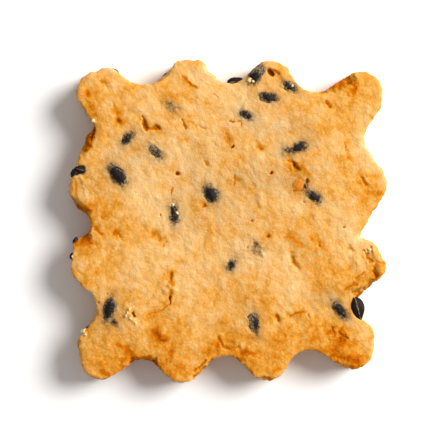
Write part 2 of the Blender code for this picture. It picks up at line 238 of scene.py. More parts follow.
# %% Cracks and pits
CRACKS = [
    # L shaped crack at the upper left
    (-12.1, 14.7, -11.8, 13.8, 0.24, 0.8, 0.8), (-11.9, 13.8, -11.5, 12.7, 0.5, 1.3, 1.0),
    (-11.5, 12.75, -10.5, 13.1, 0.42, 1.0, 0.8), (-10.5, 13.1, -9.7, 13.15, 0.4, 1.1, 0.9),
    # slit, nick and thin crack to its right
    (-6.65, 14.1, -5.9, 12.8, 0.2, 0.6, 0.6), (-4.0, 13.25, -3.4, 12.85, 0.21, 0.4, 0.45),
    (0.05, 13.95, 1.6, 13.95, 0.17, 0.5, 0.8), (1.6, 13.95, 1.75, 13.3, 0.18, 0.5, 0.7),
    # hollow in the right half, crevice beside the toasted seed
    (9.15, 8.1, 9.7, 7.0, 0.42, 1.1, 1.1), (8.35, 8.25, 9.15, 7.95, 0.18, 0.5, 0.6),
    (10.95, 5.6, 10.8, 4.5, 0.3, 0.5, 1.3), (9.3, 4.25, 10.0, 4.3, 0.22, 0.4, 0.9),
    # slits of the two upper lobes at the right
    (13.75, 16.5, 14.3, 15.9, 0.26, 0.5, 0.95), (16.15, 10.9, 16.6, 9.5, 0.2, 0.4, 0.45),
    (18.55, 6.0, 19.25, 5.15, 0.28, 0.6, 0.75),
    # nicks of the middle
    (0.9, 6.4, 0.65, 5.0, 0.21, 0.4, 0.5), (-3.45, 8.25, -2.85, 7.95, 0.18, 0.4, 0.5),
    # hollows of the lower left half, out to the crumbs
    (-8.05, -7.45, -8.0, -8.15, 0.28, 0.9, 0.7), (-8.05, -10.8, -8.05, -11.7, 0.3, 1.1, 1.3),
    (-8.2, -11.95, -9.6, -12.5, 0.2, 0.4, 0.45), (-9.6, -12.5, -11.25, -12.9, 0.24, 0.3, 0.42),
    (-13.3, -12.75, -13.1, -13.25, 0.34, 0.9, 1.1),
    # arc crack at the bottom
    (-1.35, -16.4, -0.9, -17.55, 0.22, 0.6, 0.7), (-0.9, -17.55, 0.05, -17.95, 0.25, 0.6, 0.65),
    (0.05, -17.95, 1.45, -17.45, 0.17, 0.5, 0.55),
    # pit of the lower right half and its crease
    (6.5, -13.45, 6.8, -13.9, 0.32, 0.7, 0.75), (8.6, -13.45, 9.6, -12.9, 0.21, 0.5, 0.55),
    (9.6, -12.9, 10.55, -12.85, 0.18, 0.4, 0.5), (11.2, -13.05, 11.25, -13.6, 0.2, 0.4, 0.6),
    # crossed cracks of the bottom right lobe
    (14.5, -14.85, 14.9, -15.85, 0.17, 0.5, 0.6), (15.45, -15.7, 16.75, -16.55, 0.26, 0.7, 1.0),
    (16.3, -16.0, 16.05, -16.7, 0.2, 0.6, 0.75),
    # third right lobe
    (16.9, -3.7, 17.4, -4.3, 0.45, 0.3, 0.4), (19.2, -4.4, 19.9, -5.75, 0.26, 0.5, 0.55),
    (18.0, -8.15, 18.95, -7.15, 0.21, 0.5, 0.5),
    # dents beside the middle, crack of the middle left notch
    (8.75, -5.05, 9.6, -6.45, 0.22, 0.5, 0.4), (-9.15, -3.65, -8.75, -2.95, 0.18, 0.3, 0.55),
    (-18.6, -1.2, -17.8, -1.8, 0.36, 0.3, 0.6),
    # grooves and hollows of the three lobes at the top
    (-6.5, 20.0, -5.4, 19.1, 0.17, 0.3, 0.4), (-5.4, 19.1, -4.55, 18.6, 0.25, 0.4, 0.5),
    (-2.05, 17.75, -1.4, 17.05, 0.14, 0.3, 0.4), (5.6, 21.0, 5.95, 20.45, 0.5, 1.7, 1.35),
    (6.3, 21.1, 6.75, 20.6, 0.42, 0.7, 0.7), (-17.9, 19.5, -17.5, 19.1, 0.3, 0.25, 0.4),
    (-16.15, 16.35, -15.9, 15.95, 0.17, 0.3, 0.45), (-15.35, 18.6, -13.95, 18.15, 0.17, 0.2, 0.3),
    # seams at the walls, left and bottom
    (-18.95, 13.1, -19.05, 11.4, 0.17, 0.8, 1.3), (14.2, -19.15, 16.3, -19.2, 0.17, 0.6, 0.6),
    (-4.85, -21.15, -3.15, -19.65, 0.22, 0.8, 0.75), (-15.75, -1.7, -15.35, -2.25, 0.21, 0.3, 0.4),
    # cleft round the ball of the third right lobe, crease above the right seed
    (20.55, -5.9, 20.2, -7.1, 0.24, 0.8, 0.45), (20.2, -7.1, 20.6, -7.9, 0.26, 0.8, 0.5),
    (20.75, -5.85, 21.7, -5.85, 0.24, 0.6, 0.3), (16.3, -9.6, 17.8, -8.9, 0.3, 0.6, 0.6),
    # creases of the left, bottom left and top right lobes
    (-21.4, 5.6, -21.5, 3.8, 0.3, 0.3, 0.35), (-14.1, -17.7, -13.8, -18.5, 0.55, 0.4, 0.6),
    (17.7, 19.6, 17.55, 17.7, 0.26, 0.35, 0.4),
    # brown strips at the walls, darkened partly as painted shade
    (-19.35, 12.5, -19.45, 11.5, 0.78, 0.3, 0.95), (-19.45, 11.5, -19.75, 10.6, 0.74, 0.3, 0.95),
    (-19.75, 10.6, -20.2, 9.9, 0.6, 0.2, 0.85), (-13.2, -19.25, -10.9, -19.25, 0.45, 0.3, 0.75),
    (-21.0, -3.2, -20.0, -3.0, 0.7, 0.15, 0.75),
    # brown ends of seeds
    (-7.9, 4.4, -7.9, 3.5, 0.22, 0.1, 0.55), (-16.3, -10.6, -16.1, -10.9, 0.25, 0.1, 0.5),
    (12.1, 3.0, 12.1, 2.35, 0.12, 0.1, 0.9),
    # fine brown marks of the rim
    (19.8, -3.55, 20.0, -4.5, 0.13, 0.4, 1.0), (18.85, -3.95, 19.55, -4.65, 0.18, 0.4, 0.7),
    (-14.6, -17.5, -14.2, -17.9, 0.3, 0.3, 0.35), (-17.6, -21.0, -17.0, -21.5, 0.6, 0.2, 0.5),
]
# Pin holes are (x, y, radius, darkness); the darkness is partly painted shade in the hole.
PIN_HOLES = [
    (-9.8, 0.65, 0.13, 0.7), (0.75, 10.45, 0.22, 1.35), (6.15, 6.85, 0.24, 1.35),
    (-7.0, 6.55, 0.28, 1.2), (-3.35, 2.15, 0.28, 0.95), (3.3, 0.05, 0.2, 0.75),
    (5.65, -2.2, 0.28, 1.1), (3.35, -2.6, 0.16, 0.7), (2.6, -3.65, 0.16, 0.6),
    (16.1, -0.95, 0.2, 0.6), (12.8, -3.5, 0.2, 0.6), (-18.2, -11.4, 0.16, 0.5),
    (-17.7, 0.4, 0.2, 0.35), (10.3, 2.6, 0.16, 0.45), (-17.1, -10.2, 0.12, 0.4),
]
print("cracks:", len(CRACKS), "pin holes:", len(PIN_HOLES))

# %% Toasted patches and lumps
PATCHES = [
    # top left lobe and the L shaped crack
    (-20.4, 19.4, -19.7, 18.0, 1.0, 0.1, 0.18), (-18.1, 19.7, -17.0, 18.9, 0.7, 0.1, 0.09),
    (-19.7, 16.5, -18.8, 14.9, 1.0, 0.1, 0.1), (-15.7, 15.2, -15.0, 13.6, 1.1, 0.12, 0.29),
    (-12.1, 14.4, -11.0, 12.7, 1.0, 0.1, 0.11), (-11.0, 13.6, -9.6, 12.7, 0.8, 0.1, 0.11),
    # second top lobe and the slit below it
    (-9.0, 19.2, -7.9, 17.2, 1.3, 0.0, 0.1), (-6.5, 19.9, -4.6, 18.6, 0.7, 0.05, 0.22),
    (-5.8, 17.6, -5.4, 17.0, 0.7, 0.05, 0.14), (-10.1, 16.6, -9.6, 16.1, 0.8, 0.05, 0.04),
    (-6.2, 14.0, -4.6, 13.3, 1.1, 0.05, 0.12), (-6.8, 11.2, -5.8, 11.3, 0.8, 0.1, 0.13),
    # above the middle
    (-0.6, 12.6, -0.1, 11.5, 0.8, 0.15, 0.22), (0.6, 12.7, 1.1, 11.3, 0.7, 0.05, 0.07),
    (4.0, 10.9, 4.7, 9.8, 0.7, 0.2, 0.35),
    # both sides of the hollow in the right half
    (8.3, 8.8, 8.9, 6.8, 0.8, 0.1, 0.18), (10.0, 8.0, 10.9, 6.3, 0.8, 0.1, 0.18),
    # third top lobe round to the second right lobe
    (6.7, 20.3, 7.6, 19.2, 0.8, 0.1, 0.04), (15.2, 18.9, 17.3, 19.7, 0.8, 0.0, 0.06),
    (13.1, 17.2, 14.8, 15.2, 1.4, 0.1, 0.1), (20.0, 17.2, 20.5, 16.1, 1.3, 0.0, 0.03),
    (16.2, 11.3, 16.7, 9.1, 1.0, 0.1, 0.12), (17.9, 6.3, 19.7, 4.0, 1.3, 0.1, 0.17),
    (20.1, 5.7, 20.9, 4.3, 1.0, 0.0, 0.11),
    # middle
    (-3.6, 8.5, -2.6, 7.7, 0.7, 0.05, 0.08), (0.9, 6.1, 1.9, 5.6, 0.7, 0.1, 0.18),
    (-4.0, 2.6, -2.3, 1.0, 1.1, 0.1, 0.0), (-4.6, -0.2, -2.9, -1.6, 1.3, 0.0, 0.05),
    # second left lobe and the notch below it
    (-21.6, 5.4, -21.2, 3.5, 0.6, 0.0, 0.14), (-20.5, 2.5, -19.1, 1.5, 1.0, 0.0, 0.18),
    (-18.6, 3.5, -16.9, 1.2, 1.7, 0.0, 0.07), (-18.7, -0.7, -17.6, -2.1, 0.8, 0.1, 0.04),
    (-17.0, -1.1, -15.3, -2.1, 1.0, 0.1, 0.17), (-21.1, -3.1, -19.7, -3.2, 0.8, 0.0, 0.29),
    # dents and patches beside the middle
    (-10.3, -1.7, -9.3, -3.1, 1.0, 0.25, 0.26), (8.6, -2.1, 10.0, -3.2, 1.3, 0.05, 0.16),
    (12.0, -2.7, 13.4, -3.5, 1.1, 0.1, 0.17), (8.6, -4.8, 9.7, -6.6, 0.7, 0.25, 0.1),
    # third right lobe
    (16.7, -3.5, 17.6, -4.6, 0.8, 0.1, 0.03), (18.1, -4.1, 19.5, -6.6, 1.1, 0.1, 0.0),
    (17.3, -7.2, 19.3, -8.6, 1.3, 0.1, 0.05), (21.5, -6.6, 21.5, -7.4, 0.8, 0.0, 0.11),
    # two hollows and the bottom left lobe
    (-8.0, -7.2, -8.0, -11.1, 0.8, 0.05, 0.23), (-11.0, -12.5, -8.5, -12.2, 0.7, 0.1, 0.04),
    (-10.4, -15.4, -9.0, -16.8, 1.0, 0.15, 0.23), (-15.0, -17.5, -13.2, -19.1, 0.8, 0.1, 0.09),
    (-18.6, -20.5, -16.9, -21.6, 1.1, 0.05, 0.1),
    # arc crack, pit and crease at the bottom
    (-1.5, -16.4, 1.3, -17.8, 1.0, 0.1, 0.08), (2.3, -18.1, 3.3, -18.7, 0.8, 0.1, 0.18),
    (6.2, -13.2, 7.1, -14.0, 0.7, 0.1, 0.08), (8.3, -13.3, 10.7, -12.8, 0.7, 0.1, 0.14),
    # bottom right lobe and the rim beside it
    (13.6, -15.0, 17.3, -17.3, 1.4, 0.15, 0.16), (15.0, -18.4, 18.4, -19.8, 1.4, 0.0, 0.13),
    (8.6, -16.7, 11.7, -17.8, 1.7, 0.0, 0.06),
]
# Lumps only rise: x, y, x, y, half width, rise.
LUMPS = [
    # skin over a buried seed, ball of the third right lobe, crumbs
    (4.6, 3.5, 4.6, 2.4, 0.8, 0.2), (21.2, -6.8, 21.2, -6.9, 1.0, 0.5),
    (-14.2, -12.1, -13.4, -14.0, 0.7, 0.2),
    # ridge of the second left lobe
    (-20.5, 6.2, -20.15, 5.2, 0.35, 0.12), (-20.15, 5.2, -19.9, 3.9, 0.35, 0.12),
    # ridge and bubbles between the two hollows, crag of the third right lobe
    (-8.9, -9.7, -7.4, -9.7, 0.6, 0.2), (20.4, -4.4, 20.7, -5.2, 0.8, 0.2),
    (-8.3, -9.1, -8.2, -9.3, 0.5, 0.25), (-7.7, -9.9, -7.7, -10.1, 0.4, 0.2),
]
# Where the skin broke up into crags: x, y, x, y, half width, strength.
CRAGS = [
    (13.5, -15.0, 18.0, -18.5, 3.4, 1.0), (4.5, -17.5, 6.5, -21.0, 2.4, 0.5),
    (16.5, -4.0, 20.8, -6.5, 3.2, 1.0), (17.5, -7.5, 19.5, -8.5, 1.6, 0.8),
    (14.0, 18.5, 19.0, 20.0, 2.4, 0.7), (18.5, 17.0, 20.5, 14.0, 2.6, 0.5),
    (-20.5, 7.0, -19.5, 2.0, 1.8, 0.9), (-19.0, -0.5, -17.0, -2.5, 1.6, 0.8),
    (-18.0, -17.0, -18.0, -21.0, 3.0, 0.6), (-13.0, -16.5, -8.0, -18.5, 2.8, 0.6),
    (-3.0, -16.0, 3.0, -18.0, 2.6, 0.8), (-14.5, -12.0, -12.5, -14.5, 1.4, 0.9),
    (-9.5, -6.5, -7.5, -12.5, 1.4, 0.8), (6.0, 21.0, 8.0, 19.0, 1.6, 0.6),
    (8.5, 8.5, 10.8, 4.5, 1.6, 0.7), (6.0, -13.5, 11.5, -13.0, 1.6, 0.7),
    (2.6, 8.5, 4.5, 2.0, 2.2, 0.4), (8.5, -4.0, 14.0, -3.0, 2.4, 0.4),
]
print("patches:", len(PATCHES), "lumps:", len(LUMPS), "crags:", len(CRAGS))

# %% [markdown]
# ## Seeds, measured first
# The dough bakes round its seeds, so their places are needed before the relief. Each row
# is x, y, length, width, turn in degrees towards the tip, how far it stands proud, then
# how much of it a film of dough covers, at the blunt end and at the tip, and how much
# more of it on its left side. A seed that stands less than nothing proud lies under the
# skin, and shows only as a dark smudge in it.

# %% Where the seeds lie
TOP_SEEDS = [
    (4.0, 20.6, 3.0, 1.7, 55, 0.36, -0.3, 1.15, 0.0),
    (4.5, 21.15, 2.1, 1.5, 60, 0.2, 1.15, 1.15, 0.0),
    (8.6, 18.7, 2.6, 1.4, -30, 0.12, 0.35, 0.35, -0.2),
    (5.6, 17.1, 2.6, 1.3, -12, 0.16, 0.25, 0.1, -0.55),
    (2.6, 14.8, 2.3, 1.4, -35, 0.1, 0.25, 0.3, 0.0),
    (-7.9, 15.9, 2.3, 1.5, -30, -0.4, 0.65, 0.75, 0.0),
    (-14.1, 11.5, 2.3, 1.3, 50, 0.1, 0.35, 0.15, 0.0),
    (-10.2, 9.8, 2.8, 1.6, -45, 0.12, 0.9, 0.3, 0.2),
    (-15.5, 6.4, 3.5, 1.8, 130, 0.26, 0.15, 0.05, 0.0),
    (-7.6, 1.2, 3.4, 1.4, 95, 0.14, 0.1, 0.5, 0.0),
    (-2.5, 3.8, 2.9, 1.9, 125, 0.2, 0.15, 0.15, 0.0),
    (9.7, 10.2, 2.1, 1.1, 18, 0.16, 0.35, -0.3, -0.1),
    (8.5, 9.75, 2.1, 1.4, 10, -0.4, 0.45, 0.45, 0.0),
    (11.9, 3.4, 2.1, 1.3, -35, 0.16, 0.4, -0.3, 0.0),
    (11.0, 4.1, 1.8, 1.0, -40, -0.4, 0.4, 0.4, 0.0),
    (10.6, 4.75, 1.1, 0.8, -60, 0.06, 0.2, 0.2, 0.0),
    (0.5, -6.1, 1.9, 1.1, 60, 0.1, 0.2, 0.25, 0.0),
    (4.0, -3.9, 2.6, 1.7, -50, -0.4, 0.65, 0.75, 0.0),
    (-16.7, -12.5, 3.7, 1.7, -105, 0.28, 0.1, 0.25, 0.1),
    (-16.0, -14.2, 1.4, 1.0, -30, -0.4, 0.3, 0.3, 0.0),
    (3.35, -14.3, 3.1, 1.5, -80, 0.14, 0.7, 0.45, -0.9),
    (15.55, -12.45, 3.4, 1.5, -48, 0.14, 0.35, 0.15, 0.0),
]
# Seeds that poke out of the rim: x, y, height, length, width, turn.
RIM_SEEDS = [
    (1.1, 19.5, 4.4, 2.6, 1.4, 8),
    (18.1, -12.3, 5.6, 3.3, 1.9, -75),
    (-21.3, 6.8, 5.3, 2.2, 1.3, 62),
    (-20.5, 7.1, 5.6, 1.7, 1.0, -15),
    (-21.55, -4.75, 5.55, 1.5, 1.0, 60),
    (-21.4, -2.75, 4.9, 1.1, 0.7, 80),
    (-15.9, 20.2, 3.6, 2.5, 1.3, -70),
    (-8.6, 20.2, 3.0, 2.2, 1.3, 50),
]
# A seed that lost its black coat: x, y, length, width, turn, proud.
TOASTED_SEEDS = [(9.85, 5.4, 2.6, 1.9, 65, 0.12)]
SEED_THICKNESS_SHARE = 0.55
# The photo doesn't show the underside, so these are a guess: x, y, turn.
BASE_SEEDS = [
    (-14.0, 12.5, 30), (-3.0, 15.0, 110), (9.5, 13.5, 70), (16.5, 5.0, 150), (3.5, 6.0, 20),
    (-8.5, 3.5, 85), (-16.5, -4.0, 140), (-4.5, -7.5, 45), (7.0, -4.5, 120), (13.0, -9.5, 10),
    (3.0, -14.5, 60), (-11.0, -14.0, 100), (17.0, -18.0, 35), (-19.0, 18.0, 160),
]
BASE_SEED_SIZE = (2.8, 1.6)
print("seeds on top:", len(TOP_SEEDS), "at the rim:", len(RIM_SEEDS))

# %% [markdown]
# ## Relief as one height map
# All marks are worked out for all points at once with numpy arrays. Three things keep
# them from looking drawn. The places are first shifted a little by noise, so that every
# edge frays. The width of each stroke swells and shrinks along it. And creased noise, the
# absolute value of plain noise, covers the skin with small lumps that have narrow creases
# between them, as short dough has.

# %% Helpers for the relief
def eased(share):
    """A smooth step from 0 to 1, for one number or an array."""
    share = np.clip(share, 0.0, 1.0)
    return share * share * (3.0 - 2.0 * share)


# Noises of about one length lie on different layers, so that no two patterns line up.
WAVE_LAYER, WALL_LAYER, SEED_LAYER, BREAK_LAYER, PATCHY_LAYER = 0, 0, 8, 9, 11
FRAY_X_LAYER, SWELL_LAYER, FRAY_Y_LAYER = 20, 27, 30
PIT_LAYER, CREASE_LAYER, RIM_LAYER = 40, 50, 60
LAYER_STEP = (17.3, -9.1, 5.7)


def noise_at(places, length, layer):
    """Smooth noise between about -1 and 1 at places in mm, for lumps of that length."""
    offset = Vector([layer * step for step in LAYER_STEP])
    return np.array([noise.noise(Vector(place) / length + offset) for place in places])


CREASE_GAIN, CREASE_LEVEL = 3.2, 0.55


def creased(places, length, layer):
    """Rounded lumps with narrow creases between them, from about -0.5 to 1."""
    return CREASE_GAIN * np.abs(noise_at(places, length, layer)) - CREASE_LEVEL


def flattened(places):
    """The places at height 0, so that a pattern doesn't change down the wall."""
    return places * np.array((1.0, 1.0, 0.0))


print("eased at a quarter of the way:", float(eased(0.25)))

# %% Strokes and seeds as values at each place
# How strokes fray, as length and reach in mm, and how much their width swells.
FRAYS = [(1.8, 0.3), (0.6, 0.2), (0.28, 0.12)]
SWELL_LENGTH, SWELL = 0.9, 0.4
# Columns of a stroke: how strong it is, as depth, rise or shift, and how dark it baked.
STRENGTH, DARKNESS = 5, 6


def frayed(places):
    """The x and y of places shifted by noise, and how much strokes swell there."""
    x, y = places[:, 0].copy(), places[:, 1].copy()
    flat = flattened(places)
    for layer, (length, reach) in enumerate(FRAYS):
        x += reach * noise_at(flat, length, FRAY_X_LAYER + layer)
        y += reach * noise_at(flat, length, FRAY_Y_LAYER + layer)
    return x, y, 1.0 + SWELL * noise_at(flat, SWELL_LENGTH, SWELL_LAYER)


def stroke_share(stroke, marks, slope):
    """How far inside a stroke each place is: 1 in its middle, 0 outside."""
    x, y, swell = marks
    x1, y1, x2, y2, half_width = stroke[:5]
    run_x, run_y = x2 - x1, y2 - y1
    share = ((x - x1) * run_x + (y - y1) * run_y) / (run_x * run_x + run_y * run_y)
    share = np.clip(share, 0.0, 1.0)
    distance = np.hypot(x - x1 - run_x * share, y - y1 - run_y * share)
    return eased((1.0 - distance / (half_width * swell)) / slope)


def deepest(strokes, marks, slope, column):
    """The largest value of one column of the strokes that reach each place."""
    found = np.zeros_like(marks[0])
    for stroke in strokes:
        found = np.maximum(found, stroke[column] * stroke_share(stroke, marks, slope))
    return found


def total(strokes, marks, slope, column):
    """The sum of one column over the strokes that reach each place."""
    found = np.zeros_like(marks[0])
    for stroke in strokes:
        found += stroke[column] * stroke_share(stroke, marks, slope)
    return found


def along_across(seed, x, y):
    """Each place in the seed's own directions, towards its tip and to its left."""
    turn = math.radians(seed[4])
    along = (x - seed[0]) * math.cos(turn) + (y - seed[1]) * math.sin(turn)
    across = -(x - seed[0]) * math.sin(turn) + (y - seed[1]) * math.cos(turn)
    return along, across


def outside_seed(seed, x, y):
    """About how many mm each place lies outside the seed's outline, below 0 on it."""
    along, across = along_across(seed, x, y)
    half_length, half_width = seed[2] / 2, seed[3] / 2
    return (np.hypot(along / half_length, across / half_width) - 1.0) * half_width


def cover_along(seed, x, y):
    """How much film covers the seed there: from its blunt end to its tip, and to its left."""
    along, across = along_across(seed, x, y)
    share = np.clip(along / seed[2] + 0.5, 0.0, 1.0)
    left = np.clip(2 * across / seed[3], -1.0, 1.0)
    return seed[6] + (seed[7] - seed[6]) * share + seed[8] * left


edge_tree = kdtree.KDTree(len(outline))
for number, point in enumerate(outline):
    edge_tree.insert((point.x, point.y, 0.0), number)
edge_tree.balance()


def nearest_edge(x, y):
    """Distance to the outline and the inward direction there, for each place."""
    found = [edge_tree.find((px, py, 0.0)) for px, py in zip(x, y)]
    distance = np.array([hit[2] for hit in found])
    inward = []
    for hit in found:
        run = outline[(hit[1] + 1) % len(outline)] - outline[hit[1] - 1]
        inward.append((run.y / run.length, -run.x / run.length))
    return distance, np.array(inward)


print("middle to the nearest edge in mm:", round(edge_tree.find((0.0, 0.0, 0.0))[2], 2))

# %% [markdown]
# The same shifts serve the relief and, later, the colours, so that a brown edge lies
# exactly on the edge of its crack. The skin may not stand more than a tenth of a
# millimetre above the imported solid, so a limit cuts its highest grains. In the lists
# below, each pair is the length of a pattern and how far it reaches, in millimetres.
# WAVE_SHIFT takes each wave from another height of the noise, in wave lengths.

# %% The height map
TOP_LIMIT = cad_box[1][2] / MM + 0.1
CROWN_DROP, CROWN_REACH = 0.18, 1.0
WAVES, WAVE_SHIFT = [(7.0, 0.12), (2.6, 0.08), (1.3, 0.045)], 3.7
CREASES = [(1.7, 0.028), (0.8, 0.02), (0.42, 0.014)]
CRAG_GAIN = 1.1
LEDGE_BREAK_LENGTH, LEDGE_BREAK = 0.8, 0.5
SEED_RAGGEDNESS, SEED_MARGIN, SEED_LIP = [(0.8, 0.2), (0.35, 0.14)], 0.5, 0.15
LEDGE_SLOPE, CRACK_SLOPE = 0.9, 0.45
LEDGE_SHARE, CRACK_SHARE, PATCH_SHARE = 0.65, 0.26, 0.6
PIN_DEPTH, PIN_SLOPE, PIN_REACH = 0.22, 1.4, 1.5


def pin_share(marks, with_darkness):
    """How far inside a pin hole each place is, times the hole's darkness if asked."""
    found = np.zeros_like(marks[0])
    for pin in PIN_HOLES:
        distance = np.hypot(marks[0] - pin[0], marks[1] - pin[1])
        share = eased(PIN_SLOPE * (1.0 - distance / (PIN_REACH * pin[2])))
        found = np.maximum(found, share * (pin[3] if with_darkness else 1.0))
    return found


def top_height(places, marks, edge_distance):
    """Height of the baked top in mm: a soft crown, waves, creases, and then the marks."""
    height = THICKNESS - CROWN_DROP * np.exp(-edge_distance / CROWN_REACH)
    flat = flattened(places)
    for layer, (length, rise) in enumerate(WAVES):
        shifted = flat + np.array((0.0, 0.0, WAVE_SHIFT * layer * length))
        height += rise * noise_at(shifted, length, WAVE_LAYER)
    roughness = 1.0 + CRAG_GAIN * deepest(CRAGS, marks, 1.0, STRENGTH)
    for layer, (length, rise) in enumerate(CREASES):
        height += rise * roughness * creased(flat, length, CREASE_LAYER + layer)
    broken = 1.0 + LEDGE_BREAK * noise_at(flat, LEDGE_BREAK_LENGTH, BREAK_LAYER)
    height -= LEDGE_SHARE * deepest(LEDGES, marks, LEDGE_SLOPE, STRENGTH) * broken
    height -= CRACK_SHARE * deepest(CRACKS, marks, CRACK_SLOPE, STRENGTH)
    height -= PATCH_SHARE * deepest(PATCHES, marks, 1.0, STRENGTH)
    height += deepest(LUMPS, marks, 1.0, STRENGTH)
    height -= PIN_DEPTH * pin_share(marks, False)
    ragged = sum(rise * noise_at(flat, length, SEED_LAYER) for length, rise in SEED_RAGGEDNESS)
    near_seed = np.zeros_like(height)
    for seed in TOP_SEEDS:
        outside = np.abs(outside_seed(seed, places[:, 0], places[:, 1]) + SEED_LIP)
        near_seed = np.maximum(near_seed, 1.0 - eased(outside / SEED_MARGIN))
    return np.minimum(height + ragged * near_seed, TOP_LIMIT)


print("limit of the top in mm:", round(TOP_LIMIT, 2))

# %% [markdown]
# The wall is drawn in a little at half height, as dough that sinks while it bakes, and is
# rough with crumbs. The underside took its flatness from the tray, but for small pits and
# the windows through which its seeds show.

# %% Bake the relief
WALL_REACH, WALL_WAIST, WALL_GRAIN = 1.3, 0.25, 1.1
FINE_GRAIN_SHARE, FINE_GRAIN = 0.4, WALL_GRAIN / 3
RIM_ROUGHNESS = [(0.9, 0.12), (0.45, 0.13)]
BASE_PITS, PIT_THRESHOLD = [(1.3, 0.22), (0.5, 0.07)], 0.15
BASE_SEED_WINDOW, WINDOW_EDGE = 0.2, 0.2
BASE_MARGIN, BASE_EASING = 0.6, 0.8


def base_height(places):
    """How far pits and seeds' windows lift the underside from the tray."""
    flat = flattened(places)
    lift = np.zeros(len(places))
    for layer, (length, rise) in enumerate(BASE_PITS):
        pits = noise_at(flat, length, PIT_LAYER + layer) - PIT_THRESHOLD
        lift += rise * np.clip(pits, 0.0, 1.0)
    for x, y, turn in BASE_SEEDS:
        seed = (x, y, *BASE_SEED_SIZE, turn)
        inside = -outside_seed(seed, places[:, 0], places[:, 1])
        lift = np.maximum(lift, BASE_SEED_WINDOW * eased(inside / WINDOW_EDGE + 0.5))
    return lift


def read_places(item):
    """The item's points in mm, one row each."""
    places = np.zeros(len(item.data.vertices) * 3)
    item.data.vertices.foreach_get("co", places)
    return places.reshape(-1, 3) / MM


def bake_relief(item):
    """Moves the wall's points in or out, and all points between base and top."""
    places = read_places(item)
    edge_distance, inward = nearest_edge(places[:, 0], places[:, 1])
    level = np.clip(places[:, 2] / THICKNESS, 0.0, 1.0)
    grain = noise_at(places, WALL_GRAIN, WALL_LAYER)
    grain += FINE_GRAIN_SHARE * noise_at(places, FINE_GRAIN, WALL_LAYER + 1)
    waist = np.sin(math.pi * level)
    near_wall = eased(1.0 - edge_distance / WALL_REACH)
    draw_in = WALL_WAIST * waist * (0.5 + grain)
    for layer, (length, reach) in enumerate(RIM_ROUGHNESS):
        draw_in += reach * noise_at(places, length, RIM_LAYER + layer)
    low = base_height(places) * eased((edge_distance - BASE_MARGIN) / BASE_EASING)
    high = top_height(places, frayed(places), edge_distance)
    marked = (places[:, 0], places[:, 1], np.ones(len(places)))
    draw_in += total(RIM_MARKS, marked, 1.0, STRENGTH)
    places[:, :2] += inward * (draw_in * near_wall)[:, None]
    places[:, 2] = low + (high - low) * level
    item.data.vertices.foreach_set("co", (places * MM).ravel())
    item.data.update()


bake_relief(dough)
print("top in mm:", round(read_places(dough)[:, 2].max(), 2))

# %% [markdown]
# The wall and the underside need fewer triangles than the top. A vertex group tells the
# Decimate modifier which points it may merge, and the top keeps its even grain.

# %% Thin out the wall and the underside
SKIN_TRIANGLES = 195000
PLAIN_SHARE = 0.62
heights = read_places(dough)[:, 2]
low_points = np.flatnonzero(heights < PLAIN_SHARE * THICKNESS)
plain = dough.vertex_groups.new(name="plain")
plain.add([int(i) for i in low_points], 1.0, "REPLACE")
decimate = dough.modifiers.new("thin_out", "DECIMATE")
decimate.ratio = min(1.0, SKIN_TRIANGLES / triangle_count(dough))
decimate.vertex_group = "plain"
decimate.use_collapse_triangulate = True
apply_modifiers(dough)
dough.vertex_groups.clear()
dough.data.shade_smooth()
print("skin triangles:", triangle_count(dough))

# %% [markdown]
# ## What the oven coloured, and painted shade
# Six values are written on the skin's points and read by its material: toast (how far
# the dough browned), dull (how much seeds under the skin dim it, and painted shade along
# the left edge), crack (how deep in a crack, whose brown is partly painted shade), film
# (how close a black seed is), pale (dry flour grains) and under (the tray side). They
# come from the same marks as the relief. They are left soft, and the material sharpens
# them with finer noise than the mesh could hold.

# %% Colour values on the skin
# Grains of dry flour: x, y, radius.
PALE_GRAINS = [
    (-18.8, 14.0, 0.35), (-20.1, -15.7, 0.45), (-19.95, 3.8, 0.4), (-20.4, 5.8, 0.25),
    (-20.15, 4.9, 0.25), (3.0, 19.9, 0.45), (-5.8, 5.2, 0.3), (-9.9, 3.5, 0.3),
    (3.4, -5.8, 0.35), (-15.7, -3.7, 0.4), (7.7, 6.4, 0.3), (17.3, 2.6, 0.4),
    (-11.2, 15.0, 0.35),
]
